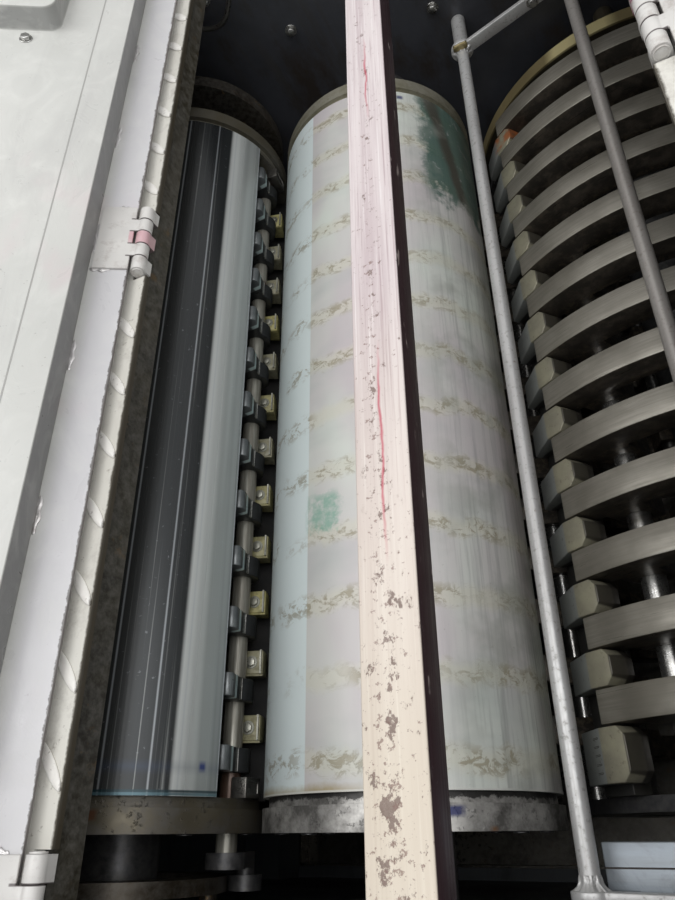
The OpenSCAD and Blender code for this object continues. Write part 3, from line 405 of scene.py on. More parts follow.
def block_steel():
    """Gripper blocks: khaki-grey tops and cooler grey slopes, with painted shade low down and on the end
    walls at the lead side.
    """
    f = Finish("block_steel", 0.36, 0.3)
    angle, reach = f.around(DRUM_AXIS)
    cloud = f.grain(45, 4, 0.6)
    slope = f.between(angle, 130.0, 139.5, 0.1) + f.between(angle, -50.0, -40.5, 0.1)
    f.ground(cloud, 0.35, 0.65, (166, 162, 140), (144, 140, 124))
    f.lay(slope * 0.75, 140, 146, 148)
    # Painted shade: dark below the slopes, deep in the drum, and on the end walls at the lead side
    f.lay(f.fade(reach, 0.2385, 0.2365) * 0.9, 44, 42, 40)
    shaded_lead_end = (f.fade(angle, 124.6, 124.3) * f.fade(angle, 90, 92)
                + f.fade(angle, -55.4, -55.7) * f.fade(angle, -90, -88))
    f.lay(shaded_lead_end * 0.85, 52, 48, 44)
    rusted = f.between(f.y + cloud * 0.01, 0.345, 0.372, 0.003) * f.between(angle, 122, 131, 1.0)
    f.lay(rusted * f.fade(cloud, 0.38, 0.5) * 0.85, 178, 104, 58)
    f.lay(f.mottle(0.6, 0.68, 210, 4, 0.7) * 0.5, 84, 78, 70)
    return f.finish(f.sheen(cloud, 0.3, 0.46), cloud, 0.0004, 0.3)


def rod_steel():
    """Guard rods: pale speckled steel."""
    f = Finish("rod_steel", 0.36, 0.3)
    fine = f.grain(230, 4, 0.7)
    slow = f.grain(14, 4, 0.6, stretch=(1, 0.35, 1))
    f.ground(slow, 0.38, 0.64, (176, 175, 174), (200, 200, 199))
    f.lay(f.fade(fine, 0.56, 0.66) * 0.55, 124, 120, 115)
    # The upper rod is browner
    f.lay(f.fade(f.x, 0.150, 0.160) * f.fade(f.z, 0.685, 0.688) * 0.5, 120, 108, 96)
    f.lay(f.mottle(0.64, 0.7, 95, 5, 0.7) * 0.6, 118, 92, 74)
    return f.finish(f.sheen(fine, 0.28, 0.5), fine, 0.0004, 0.35)


def tread_paint(name, seed, inner_edge):
    """White deck paint, dirty in the hollows and brown at its inner edge."""
    f = Finish(name, 0.4)
    drift = f.grain(4, 4, 0.6, shift=(seed, 0, 0))
    f.ground(drift, 0.35, 0.68, (224, 222, 214), (206, 203, 194))
    soil = f.mottle(0.52, 0.72, 34, 6, 0.72, shift=(0, seed, 0))
    f.lay(soil * 0.55, 160, 154, 146)
    # The tops of the bars are worn clean, with a dirty outline round each
    f.lay(f.fade(f.z, DECK_TOP + 0.0002, DECK_TOP + 0.0009) * 0.6, 238, 235, 231)
    f.lay(f.between(f.z, DECK_TOP + 0.0001, DECK_TOP + 0.0005, 0.0001) * 0.7, 120, 112, 98)
    f.lay(f.mottle(0.62, 0.66, 130, 5, 0.75) * 0.5, 110, 100, 86)
    edge = f.fade(abs(f.x) + f.grain(90, 5, 0.75) * 0.0045, inner_edge + 0.0046, inner_edge + 0.0030)
    f.lay(edge * 0.95, 62, 56, 44)
    f.lay(f.fade(f.z, DECK_TOP - 0.0008, DECK_TOP - 0.0022) * 0.9, 58, 52, 40)
    return f.finish(f.fade(soil, 0, 1, 0.34, 0.56), soil, 0.0004, 0.4)


def flap_paint(name, seed, hinge, lean):
    """A flap's underside: light grey white with faint pink smears."""
    f = Finish(name, 0.36)
    lean_cos, lean_sin = math.cos(lean), math.sin(lean)
    drift = f.grain(3, 4, 0.6, shift=(seed, 0, 0))
    f.ground(drift, 0.35, 0.68, (206, 206, 202), (194, 195, 191))
    pink = f.mottle(0.58, 0.76, 11, 4, 0.6, stretch=(1, 0.6, 1), shift=(0, seed, 0))
    f.lay(pink * 0.4, 214, 184, 192)
    f.lay(f.mottle(0.54, 0.74, 7, 6, 0.7, stretch=(2.5, 0.5, 2.5), twist=0.7) * 0.35, 166, 164, 164)
    f.lay(f.mottle(0.66, 0.72, 230, 4, 0.75) * 0.5, 120, 112, 108)
    swirl = f.grain(26, 4, 0.6, stretch=(1, 0.7, 1), twist=1.6)
    # How far the place lies above the hinge along the open flap, and how high over its plate
    along = (abs(f.x) - hinge) * lean_cos + (f.z - HINGE_Z) * lean_sin
    over = (f.z - HINGE_Z) * lean_cos - (abs(f.x) - hinge) * lean_sin
    # Painted shade on the pan's wall that faces the hinge, and on the latch box's sides
    shaded_pan_wall = f.between(over, 0.0034, 0.0312, 0.0005) * f.fade(along, 0.0440, 0.0415)
    f.lay(shaded_pan_wall * 0.8, 112, 112, 113)
    shaded_box_side = f.between(over, 0.0340, 0.0560, 0.0010)
    f.lay(shaded_box_side * 0.6, 118, 119, 119)
    ledge = f.fade(along, 0.0405, 0.030) * f.fade(over, 0.0050, 0.0030)
    f.lay(ledge * 0.5, 208, 206, 214)
    f.lay(f.fade(swirl, 0.5, 0.7) * 0.25, 226, 226, 222)
    # The edge by the hinge, worn and darkened by a painted shadow of the gap beside it
    f.lay(f.fade(along + f.grain(90, 5, 0.8) * 0.006, 0.0122, 0.0116) * 0.8, 70, 62, 58)
    return f.finish(f.sheen(swirl, 0.24, 0.5), swirl, 0.0012, 0.3)


def cast_frame():
    """The side frames: near black oily castings inside, painted outside."""
    f = Finish("cast_frame", 0.4, 0.25)
    cloud = f.grain(5, 5, 0.65)
    f.ground(cloud, 0.35, 0.66, (80, 82, 88), (54, 55, 60))
    f.lay(f.mottle(0.52, 0.68, 20, 6, 0.7, stretch=(1, 1, 0.4)) * 0.7, 58, 48, 36)
    f.lay(f.mottle(0.58, 0.7, 1, 4, 0.6, stretch=(60, 60, 2.5)) * 0.4, 72, 68, 62)
    outside = (f.fade(f.y, DRIVE_FACE + 0.040, DRIVE_FACE + 0.044)
               + f.fade(f.y, OPERATOR_FACE - 0.040, OPERATOR_FACE - 0.044))
    f.lay(outside * 0.75, 120, 126, 130)
    return f.finish(f.sheen(cloud, 0.28, 0.5), f.grain(90, 5, 0.6), 0.0009, 0.4)


def finger_steel():
    """Gripper fingers: a grey face, a painted highlight along its edge and a dark back, oily and in painted
    shade.
    """
    f = Finish("finger_steel", 0.3, 0.4)
    angle, reach = f.around(LEFT_AXIS)
    cloud = f.grain(60, 4, 0.6)
    f.ground(cloud, 0.35, 0.65, (116, 120, 121), (90, 94, 96))
    # The back is dark with oil and painted shade; a painted highlight runs along the ridge
    f.lay(f.fade(angle, 3.2, 2.8) * 0.85, 34, 34, 35)
    ridge = f.between(angle, 3.2, 5.6, 0.3) * f.fade(reach, 0.112, 0.114)
    f.lay(ridge * 0.9, 206, 224, 224)
    return f.finish(f.sheen(cloud, 0.26, 0.44), cloud, 0.0004, 0.3)


def pad_coat():
    """Sheet rests between the fingers: khaki plastic, greasy at the edges and darkened at the foot by painted
    shade.
    """
    f = Finish("pad_coat", 0.45)
    angle, reach = f.around(LEFT_AXIS)
    row = (f.y - FIRST_GRIPPER) / GRIPPER_PITCH
    # Each rest keeps one shade of its own
    f.surface = f.add("ShaderNodeCombineXYZ", {}, {0: row.maths("FLOOR", row) * 3.7, 1: 0.5, 2: 0.5})
    shade = f.grain(1, 2, 0.5, rolled=(1, 1, 1))
    f.ground(shade, 0.4, 0.6, (196, 188, 128), (168, 164, 140))
    grease = f.mottle(0.46, 0.62, 150, 5, 0.7)
    f.lay(grease * 0.5, 104, 98, 70)
    # Painted shade at the foot of each rest
    f.lay(f.fade(reach, 0.0950, 0.0925) * 0.9, 28, 26, 22)
    return f.finish(f.fade(grease, 0, 1, 0.35, 0.6), grease, 0.0004, 0.3)


def shaft_coat():
    """The gripper shaft: satin grey, with copper-brown stretches between some of the fingers."""
    f = Finish("shaft_coat", 0.34, 0.3)
    drawn = f.grain(60, 4, 0.6, stretch=(4, 0.2, 4))
    f.ground(drawn, 0.38, 0.62, (164, 162, 152), (120, 116, 106))
    f.lay(f.mottle(0.60, 0.62, 1, 1, 0.5, stretch=(0, 9, 0), shift=(0, 3.3, 0)) * 0.8, 84, 50, 34)
    return f.finish(f.sheen(drawn, 0.26, 0.46), drawn, 0.0003, 0.25)


def drum_cam_iron():
    """The drum's cam ring: oily iron with a tan rim, and a painted pale gold highlight along part of the rim.
    """
    f = Finish("drum_cam_iron", 0.34, 0.3)
    angle, reach = f.around(DRUM_AXIS)
    cloud = f.grain(30, 5, 0.65)
    f.ground(cloud, 0.35, 0.65, (74, 68, 54), (48, 44, 38))
    rim = f.fade(reach, 0.2205, 0.2225)
    f.lay(rim * 0.85, 150, 136, 98)
    # A painted highlight in pale gold on part of the rim
    glint = rim * f.between(angle + cloud * 3, 90, 111, 2.0)
    f.lay(glint * 0.9, 238, 224, 168)
    return f.finish(f.sheen(cloud, 0.28, 0.5), cloud, 0.0006, 0.35)


def hinge_paint():
    """White hinges, greasy between their knuckles, with pink on one knuckle and magenta on another."""
    f = Finish("hinge_paint", 0.36)
    drift = f.grain(12, 4, 0.6)
    f.ground(drift, 0.35, 0.68, (222, 220, 216), (204, 202, 199))
    soil = f.mottle(0.52, 0.70, 60, 6, 0.72)
    f.lay(soil * 0.5, 142, 128, 120)
    # Where the place lies along its own hinge, and how near it is to a joint between two knuckles
    turn = (f.y - HINGE_PLACES[1] + HINGE_PITCH / 2) / HINGE_PITCH
    local = turn.part() * HINGE_PITCH - HINGE_PITCH / 2
    step = local / KNUCKLE + 0.5
    joint = f.fade(abs(step.part() - 0.5), 0.435, 0.462)
    barrel = f.between(f.x, -0.2172, 0.2122, 0.0004)
    f.lay(joint * f.between(local, -0.0350, 0.0350, 0.0005) * barrel * 0.85, 54, 40, 42)
    pink = f.between(f.y, HINGE_PLACES[1] - 0.0066, HINGE_PLACES[1] + 0.0066, 0.0006) * f.fade(f.x, 0.0, -0.1)
    f.lay(pink * barrel * f.fade(soil + drift, 0.3, 0.6) * 0.6, 206, 138, 152)
    magenta = f.between(f.y, HINGE_PLACES[1] + 0.020, HINGE_PLACES[1] + 0.030, 0.002) * f.fade(f.x, 0.1, 0.2)
    f.lay(magenta * barrel * f.fade(drift, 0.45, 0.55) * 0.6, 176, 60, 108)
    return f.finish(f.fade(soil, 0, 1, 0.32, 0.55), drift, 0.0006, 0.3)


# Ground, shade and oil colours, roughness, metallic, seed, rust colour, its share, and the grain's stretch
IRONS = {
    "edge_wall": ((46, 41, 26), (30, 27, 18), (20, 18, 14), 0.5, 0.1, 2.0, (96, 74, 42), 0.6),
    "cam_iron": ((64, 56, 44), (40, 36, 32), (24, 22, 20), 0.4, 0.5, 3.0, (138, 110, 66), 0.95),
    "dark_steel": ((88, 88, 90), (62, 62, 65), (34, 33, 33), 0.32, 0.5, 4.0),
    "gear_iron": ((112, 110, 106), (84, 82, 78), (40, 36, 30), 0.3, 0.8, 5.0),
    "bright_steel": ((188, 188, 186), (150, 149, 146), (90, 84, 76), 0.22, 0.9, 6.0),
    "rail_aluminium": ((158, 166, 174), (142, 150, 158), (100, 104, 108), 0.42, 0.4, 9.0, None, 0.3,
                       (0.06, 1, 1)),
    "pan_steel": ((96, 92, 84), (70, 66, 60), (36, 30, 24), 0.3, 0.6, 14.0, (104, 72, 40), 0.6),
    "weld_silver": ((202, 200, 200), (180, 178, 178), (140, 134, 130), 0.32, 0.7, 15.0),
    "cheek_steel": ((196, 196, 184), (160, 160, 148), (84, 80, 66), 0.3, 0.6, 20.0),
    "brass_glint": ((190, 174, 126), (150, 136, 96), (60, 52, 36), 0.28, 0.8, 21.0),
}

# Ground, shade and dirt colours, roughness, share of dirt, seed and share of chips
PAINTS = {
    "cover_paint": ((206, 208, 208), (196, 199, 200), (150, 150, 146), 0.36, 0.35, 11.0),
    "box_paint": ((188, 192, 194), (178, 182, 184), (120, 120, 118), 0.34, 0.3, 12.0),
    "base_paint": ((88, 92, 96), (72, 76, 80), (46, 42, 38), 0.45, 0.7, 13.0, 0.6),
    "green_button": ((46, 122, 82), (38, 104, 70), (30, 60, 46), 0.3, 0.3, 16.0),
    "black_rubber": ((40, 40, 41), (30, 30, 31), (76, 72, 66), 0.6, 0.5, 18.0),
    "joint_line": ((168, 168, 165), (156, 156, 152), (120, 116, 112), 0.5, 0.3, 22.0),
    "dirt_line": ((66, 60, 56), (48, 44, 42), (90, 80, 70), 0.7, 0.5, 19.0),
}

finishes = {made.__name__: made() for made in (
    plate_film, jacket, bar_paint, rib_steel, block_steel, rod_steel, cast_frame, finger_steel, pad_coat,
    shaft_coat, drum_cam_iron, hinge_paint)}
for name, how in (("left_bearer", (LEFT_AXIS, (92, 86, 72), (60, 64, (96, 62, 40)), 0.2)),
                  ("middle_bearer", (MIDDLE_AXIS, (186, 184, 180), (55, 61, (30, 38, 92)), 0.9))):
    finishes[name] = bearer_face(name, *how)
for name, how in (("left_tread", (0.0, LEFT_EDGE)), ("right_tread", (7.0, RIGHT_EDGE))):
    finishes[name] = tread_paint(name, *how)
for name, how in (("left_flap_paint", (0.0, LEFT_HINGE, LEFT_LEAN)),
                  ("right_flap_paint", (5.0, RIGHT_HINGE, 0.0))):
    finishes[name] = flap_paint(name, *how)
for name, how in IRONS.items():
    finishes[name] = oily_iron(name, *how)
for name, how in PAINTS.items():
    finishes[name] = worn_paint(name, *how)

NODES_OF = {
    "base_paint": "base_beams cross_ties end_panels",
    "bright_steel": "levelling_feet cover_handles drum_rods",
    "cast_frame": "operator_side_frame drive_side_frame",
    "pan_steel": "oil_pan",
    "cover_paint": "operator_cover gear_case",
    "box_paint": "control_box",
    "green_button": "push_buttons",
    "left_tread": "left_deck deck_sills",
    "right_tread": "right_deck",
    "edge_wall": "deck_edge_walls",
    "hinge_paint": "deck_hinges left_flap_hinges right_flap_hinges",
    "bar_paint": "support_bar",
    "dark_steel": "bar_brackets bearing_flanges left_shaft gripper_lever middle_shaft "
                  "drum_shaft drum_spiders",
    "rod_steel": "guard_rods guard_arms",
    "rail_aluminium": "ledge_rail",
    "cam_iron": "gripper_cams",
    "drum_cam_iron": "drum_cam",
    "black_rubber": "flap_rests",
    "plate_film": "left_shell",
    "left_bearer": "left_bearers",
    "gear_iron": "left_gear middle_gear drum_gear",
    "shaft_coat": "gripper_shaft",
    "finger_steel": "gripper_fingers",
    "pad_coat": "gripper_pads",
    "jacket": "middle_shell",
    "middle_bearer": "middle_bearers",
    "rib_steel": "drum_ribs_a drum_ribs_b",
    "block_steel": "drum_blocks",
    "left_flap_paint": "left_flap_plate left_flap_pan",
    "right_flap_paint": "right_flap_plate right_flap_pan",
}
for chosen, names in NODES_OF.items():
    for name in names.split():
        for place in nodes[name].material_slots:
            place.material = finishes[chosen]

# Shaping

def clear_selection():
    for other in bpy.context.selected_objects:
        other.select_set(False)


def settle(piece):
    """Leaves only this piece selected, and makes it the active one."""
    clear_selection()
    piece.select_set(True)
    bpy.context.view_layer.objects.active = piece


def fixed_in_place(piece):
    settle(piece)
    bpy.ops.object.transform_apply(location=True, rotation=True, scale=True)
    return piece


def pick(piece, test):
    """In edit mode, selects the faces that pass the test."""
    bpy.ops.mesh.select_mode(type="FACE")
    bpy.ops.mesh.select_all(action="DESELECT")
    cage = bmesh.from_edit_mesh(piece.data)
    cage.normal_update()
    for face in cage.faces:
        if test(face):
            face.select_set(True)
    bmesh.update_edit_mesh(piece.data)


def upward(face):
    return face.normal.z > 0.9


def drawn_out(rise):
    """Moves the picked faces up or down, with walls between."""
    bpy.ops.mesh.extrude_region_move(TRANSFORM_OT_translate={"value": (0, 0, rise)})


def rimmed(width, rise):
    """Leaves a rim of a width round the picked faces and moves what is inside it up."""
    bpy.ops.mesh.inset(thickness=width)
    bpy.ops.transform.translate(value=(0, 0, rise))


def started(name):
    """The primitive that was just added, named and in edit mode."""
    piece = bpy.context.object
    piece.name = name
    fixed_in_place(piece)
    bpy.ops.object.mode_set(mode="EDIT")
    return piece


def box(name, place, size):
    """A block round a place, in edit mode."""
    clear_selection()
    bpy.ops.mesh.primitive_cube_add(size=1, location=place)
    bpy.context.object.scale = size
    return started(name)


def finished(piece, finish, bevel=0.0, segments=2, smooth=40):
    """Back in object mode, with its edges rounded, its shading smooth and its finish on."""
    if piece.mode == "EDIT":
        bpy.ops.object.mode_set(mode="OBJECT")
    settle(piece)
    if bevel:
        rounding = piece.modifiers.new("rounded_edges", "BEVEL")
        rounding.width = bevel
        rounding.segments = segments
        rounding.limit_method = "ANGLE"
        rounding.angle_limit = math.radians(35)
        bpy.ops.object.modifier_apply(modifier=rounding.name)
    bpy.ops.object.shade_smooth_by_angle(angle=math.radians(smooth))
    piece.data.materials.clear()
    piece.data.materials.append(finishes[finish])
    return piece


def held(piece, body):
    """Fixes a finished piece where it is, on its body."""
    fixed_in_place(piece)
    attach(piece, body)
    return piece


def joined(pieces, name, body):
    settle(pieces[0])
    for piece in pieces:
        piece.select_set(True)
    if len(pieces) > 1:
        bpy.ops.object.join()
    bpy.context.object.name = name
    return held(bpy.context.object, body)


def repeated(template, name, places, body="frame", keep=False):
    """Copies of one modelled piece, each with its own mesh, joined under one name."""
    copies = []
    for place in places:
        copy = template.copy()
        copy.data = template.data.copy()
        copy.matrix_world = place
        scene.collection.objects.link(copy)
        copies.append(copy)
    if not keep:
        bpy.data.objects.remove(template)
    return joined(copies, name, body)


def dressed(node, body, finish, bevel, segments=2):
    """A copy of a drawn piece with merged faces and rounded edges, which stands for it."""
    piece = bpy.data.objects.new(node + "_dressed", nodes[node].data.copy())
    scene.collection.objects.link(piece)
    settle(piece)
    bpy.ops.object.mode_set(mode="EDIT")
    bpy.ops.mesh.select_all(action="SELECT")
    bpy.ops.mesh.remove_doubles(threshold=0.00001)
    bpy.ops.mesh.dissolve_limited(angle_limit=math.radians(1.0))
    finished(piece, finish, bevel, segments)
    held(piece, body)
    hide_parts(node)


def moved(x, y, z):
    return Matrix.Translation((x, y, z))


def turned(angle, axis):
    return Matrix.Rotation(angle, 4, axis)


def standing(x, y, z, direction, spin=0.0):
    """A place for a fastener whose own upright is turned to the direction."""
    turn = Vector((0, 0, 1)).rotation_difference(Vector(direction)).to_matrix().to_4x4()
    return moved(x, y, z) @ turn @ turned(spin, "Z")


def cap_screw(name, radius, height, finish):
    """A round socket-head screw standing on its seat."""
    clear_selection()
    bpy.ops.mesh.primitive_cylinder_add(vertices=16, radius=radius, depth=height, location=(0, 0, height / 2))
    piece = started(name)
    pick(piece, upward)
    bpy.ops.mesh.inset(thickness=radius * 0.42)
    drawn_out(-height * 0.55)
    return finished(piece, finish, radius * 0.1, 1)


def hex_bolt(name, radius, height, finish):
    """A six-sided head on a round washer."""
    clear_selection()
    bpy.ops.mesh.primitive_cylinder_add(
        vertices=18, radius=radius * 1.35, depth=height * 0.25, location=(0, 0, height * 0.125))
    washer = bpy.context.object
    bpy.ops.mesh.primitive_cylinder_add(
        vertices=6, radius=radius, depth=height * 0.75, location=(0, 0, height * 0.625))
    piece = started(name)
    pick(piece, upward)
    rimmed(radius * 0.16, height * 0.08)
    bpy.ops.object.mode_set(mode="OBJECT")
    settle(piece)
    washer.select_set(True)
    bpy.ops.object.join()
    return finished(piece, finish, radius * 0.06, 1)


def shaped_block(name, size, finish, bevel, rim=0.0, sink=0.0):
    """A block standing on its own origin, its edges rounded and its top let in by a rim."""
    block = box(name, (0, 0, size[2] / 2), size)
    if rim:
        pick(block, upward)
        bpy.ops.mesh.inset(thickness=rim)
        drawn_out(-sink)
    return finished(block, finish, bevel, 2)


def joint_strip(name, place, size, finish):
    """A low strip with a folded edge, for the joint of two sheets or rails."""
    strip = box(name, place, size)
    pick(strip, upward)
    rimmed(0.0003, -0.0002)
    return finished(strip, finish)


# Tread bars, in columns that turn one way and the other

TREAD_PITCH = 0.0548
TREAD_COLUMN = 0.0274
TREAD_TURN = math.radians(-51.6)
TREAD_END = 0.530
DECK_REACH = 0.545
HINGE_CLEAR = 0.052


def tread_bar(name, finish):
    clear_selection()
    bpy.ops.mesh.primitive_circle_add(vertices=14, radius=1, fill_type="NGON", location=(0, 0, -0.0001))
    bar = bpy.context.object
    bar.scale = (0.0185, 0.0042, 1)
    bar = started(name)
    pick(bar, lambda face: True)
    drawn_out(0.0008)
    rimmed(0.0009, 0.0006)
    return finished(bar, finish, 0, 1, 70)


def tread_places(first, side):
    """Columns outward from a deck's edge: x, y and turn of each bar."""
    places = []
    column = 0
    while first + column * TREAD_COLUMN < DECK_REACH:
        odd = column % 2
        y = 0.0365 - MIDDLE - TREAD_PITCH * 2 + (TREAD_PITCH / 2 if odd else 0)
        while y < TREAD_END:
            if y > -TREAD_END:
                x = side * (first + column * TREAD_COLUMN)
                places.append((x, y, side * TREAD_TURN if odd else -side * TREAD_TURN))
            y += TREAD_PITCH
        column += 1
    return places


def clear_of_hinges(x, y, reach):
    return not (abs(x) < reach and min(abs(y - middle) for middle in HINGE_PLACES) < HINGE_CLEAR)


def clear_of_rests(x, y):
    return not (-0.41 < x < -0.33 and min(abs(y + 0.2385), abs(y - 0.2615)) < 0.042)


bar_shape = tread_bar("tread_bar", "left_tread")
for side, word, first, reach in ((-1, "left", 0.2165, 0.235), (1, "right", 0.2115, 0.230)):
    places = [moved(x, y, DECK_TOP) @ turned(turn, "Z") for x, y, turn in tread_places(first, side)
              if clear_of_hinges(x, y, reach) and clear_of_rests(x, y)]
    treads = repeated(bar_shape, word + "_deck_treads", places, "frame", keep=True)
    treads.data.materials[0] = finishes[word + "_tread"]


# Flaps

LEFT_FLAP = moved(-LEFT_HINGE, 0, HINGE_Z) @ turned(LEFT_LEAN, "Y")
RIGHT_FLAP = moved(RIGHT_HINGE, 0, HINGE_Z)
PAN_NEAR = 0.0405
PAN_TOP = 0.0325
UNDERSIDE = 0.0025
LATCH_START = 0.1055
LATCH_MIDDLE = 0.751 - MIDDLE
LATCH_TOP = 0.0575
BEAD_RADIUS = 0.0026


def weld_bead(name, length, lumps, seed):
    """A lumpy weld bead along Y, its lumps drawn out of a rounded bar."""
    clear_selection()
    bpy.ops.mesh.primitive_uv_sphere_add(segments=12, ring_count=8, radius=BEAD_RADIUS)
    bead = started(name)
    bpy.ops.mesh.select_all(action="SELECT")
    bpy.ops.transform.resize(value=(1.0, length / (2 * BEAD_RADIUS), 0.30))
    bpy.ops.mesh.subdivide(number_cuts=1, smoothness=0.6)
    bpy.ops.object.mode_set(mode="OBJECT")
    chance = random.Random(seed)
    tilt = chance.random() * 6
    for corner in bead.data.vertices:
        wave = math.sin(corner.co.y / length * lumps * math.pi * 2 + tilt)
        corner.co.x *= 1.0 + 0.35 * wave + chance.uniform(-0.12, 0.12)
        corner.co.z *= 1.0 + 0.30 * wave + chance.uniform(-0.15, 0.15)
    return finished(bead, "weld_silver", 0, 1, 60)


def flap_details(side, flap, width, body, paint):
    word = "left" if side < 0 else "right"
    dressed(word + "_flap_pan", body, paint, 0.0022, 3)
    # Tread bars on the walking face, which lies underneath while the flap is open
    columns = [TREAD_COLUMN * k + 0.0215 for k in range(int((width - 0.03) / TREAD_COLUMN) + 1)]
    places = []
    for k, w in enumerate(columns):
        y = -0.520 + (TREAD_PITCH / 2 if k % 2 else 0)
        while y < 0.524:
            if w > 0.05 or min(abs(y - middle) for middle in HINGE_PLACES) > HINGE_CLEAR:
                turn = turned(TREAD_TURN if k % 2 else -TREAD_TURN, "Z")
                places.append(flap @ moved(side * w, y, -0.0015) @ turned(math.pi, "Y") @ turn)
            y += TREAD_PITCH
    treads = repeated(bar_shape, word + "_flap_treads", places, body, keep=True)
    treads.data.materials[0] = finishes[paint]
    # The joint of the pan's two sheets
    place = (side * 0.0697, 0.0015, PAN_TOP + 0.0001)
    seam = joint_strip(word + "_flap_seam", place, (0.0010, 0.985, 0.0004), "joint_line")
    seam.matrix_world = flap
    held(seam, body)
    # The latch: a screw at its foot, and a paddle let into its face
    screw = hex_bolt(word + "_latch_screw_shape", 0.0048, 0.004, "bright_steel")
    latch_end = 0.174 if side < 0 else 0.164
    spots = [(0.1365, 0.7015 - 0.014), (0.1365, 0.801 + 0.014), (latch_end + 0.006, 0.751)]
    places = [flap @ moved(side * w, y - MIDDLE, PAN_TOP) for w, y in spots]
    repeated(screw, word + "_latch_screws", places, body)
    place = (side * (LATCH_START + latch_end) / 2, LATCH_MIDDLE, LATCH_TOP + 0.001)
    paddle = box(word + "_latch_paddle", place, (0.030, 0.062, 0.003))
    pick(paddle, upward)
    bpy.ops.mesh.inset(thickness=0.003)
    drawn_out(-0.0015)
    bpy.ops.mesh.inset(thickness=0.006)
    drawn_out(0.0022)
    finished(paddle, "box_paint", 0.0006, 2)
    paddle.matrix_world = flap
    held(paddle, body)
    # Welds along the pan's foot and round the hinge leaves
    beads = []

    def weld(length, lumps, seed, w, y, lift, turn=0.0):
        bead = weld_bead("bead", length, lumps, seed)
        bead.matrix_world = flap @ moved(side * w, y, UNDERSIDE + lift) @ turned(turn, "Z")
        beads.append(bead)

    feet = (0.194, 0.330, 0.586, 0.719, 0.860) if side < 0 else (0.150, 0.330, 0.600, 0.780)
    for number, y in enumerate(feet):
        weld(0.030, 2.5, number + 11 * side, PAN_NEAR - 0.0010, y - MIDDLE, 0.0002)
    for number, middle in enumerate(HINGE_PLACES):
        weld(0.034, 4, 31 + number, PAN_NEAR - 0.0012, middle, 0.0003)
        for end, length, w in ((-1, 0.018, 0.031), (1, 0.010, 0.020)):
            weld(length, 2, 50 + number + end, w, middle + end * 0.0362, 0.0003, QUARTER_TURN)
    joined(beads, word + "_flap_welds", body)


flap_details(-1, LEFT_FLAP, 0.217, "left_flap", "left_flap_paint")
flap_details(1, RIGHT_FLAP, 0.1925, "right_flap", "right_flap_paint")
bpy.data.objects.remove(bar_shape)

for body in ("left_flap", "right_flap", "frame"):
    node = "deck_hinges" if body == "frame" else body + "_hinges"
    dressed(node, body, "hinge_paint", 0.0007)


# Hinge pin ends, each a dished cap

def pin_cap():
    clear_selection()
    bpy.ops.mesh.primitive_cylinder_add(vertices=24, radius=0.0052, depth=0.0012, location=(0, 0, 0.0006))
    cap = started("pin_cap")
    pick(cap, upward)
    rimmed(0.0009, -0.0004)
    rimmed(0.0012, 0.0007)
    return finished(cap, "hinge_paint", 0.0002, 1)


caps = []
for middle in HINGE_PLACES:
    for x in (-LEFT_HINGE, RIGHT_HINGE):
        for end in (-1, 1):
            caps.append(standing(x, middle + end * 0.036, HINGE_Z, (0, end, 0)))
repeated(pin_cap(), "hinge_pin_caps", caps, "frame")


# Support bar, with broken edges

dressed("support_bar", "frame", "bar_paint", 0.0011)

# Guard rods: a ragged weld where each meets its arm

WELD_HEIGHT = 0.009
ROD_PLACES = ((0.044, 0.668), (0.179, 0.698))
ROD_START = -0.041 - MIDDLE + 0.006
ROD_END = 0.888 - MIDDLE - 0.006


def rod_weld(name, seed):
    """A flared weld round a rod, standing on its arm."""
    clear_selection()
    bpy.ops.mesh.primitive_cone_add(
        vertices=28, radius1=0.0118, radius2=0.0074, depth=WELD_HEIGHT, location=(0, 0, WELD_HEIGHT / 2))
    weld = started(name)
    pick(weld, lambda face: abs(face.normal.z) < 0.9)
    bpy.ops.mesh.subdivide(number_cuts=3)
    bpy.ops.object.mode_set(mode="OBJECT")
    chance = random.Random(seed)
    for corner in weld.data.vertices:
        out = Vector((corner.co.x, corner.co.y)).length
        if out > 0.0075:
            turn = math.atan2(corner.co.y, corner.co.x)
            wobble = 1 + 0.10 * math.sin(9 * turn + seed) + chance.uniform(-0.05, 0.05)
            sag = 1 - 0.22 * math.sin(math.pi * min(1, max(0, corner.co.z / WELD_HEIGHT)))
            corner.co.x *= wobble * sag
            corner.co.y *= wobble * sag
    return finished(weld, "rod_steel", 0, 1, 60)


welds = []
for number, (x, z) in enumerate(ROD_PLACES):
    for y, way in ((ROD_START, 1), (ROD_END, -1)):
        weld = rod_weld("rod_weld", number * 3 + way)
        weld.matrix_world = standing(x, y, z, (0, way, 0))
        welds.append(weld)
joined(welds, "guard_rod_welds", "frame")
dressed("guard_arms", "frame", "rod_steel", 0.0008)

# Ledge rail: the dark joint along it, and its socket screws

RAIL_TOP = 0.6525

place = (0.2245, -0.0225 - MIDDLE, RAIL_TOP + 0.0001)
held(joint_strip("rail_joint", place, (0.345, 0.0011, 0.0006), "dirt_line"), "frame")
dressed("ledge_rail", "frame", "rail_aluminium", 0.0009)
rail_screw = cap_screw("rail_screw", 0.0042, 0.0022, "bright_steel")
places = [moved(x, y - MIDDLE, RAIL_TOP) for x in (0.107, 0.240, 0.373) for y in (-0.0145, -0.0300)]
repeated(rail_screw, "rail_screws", places)


# Fittings of the left cylinder's gripper row

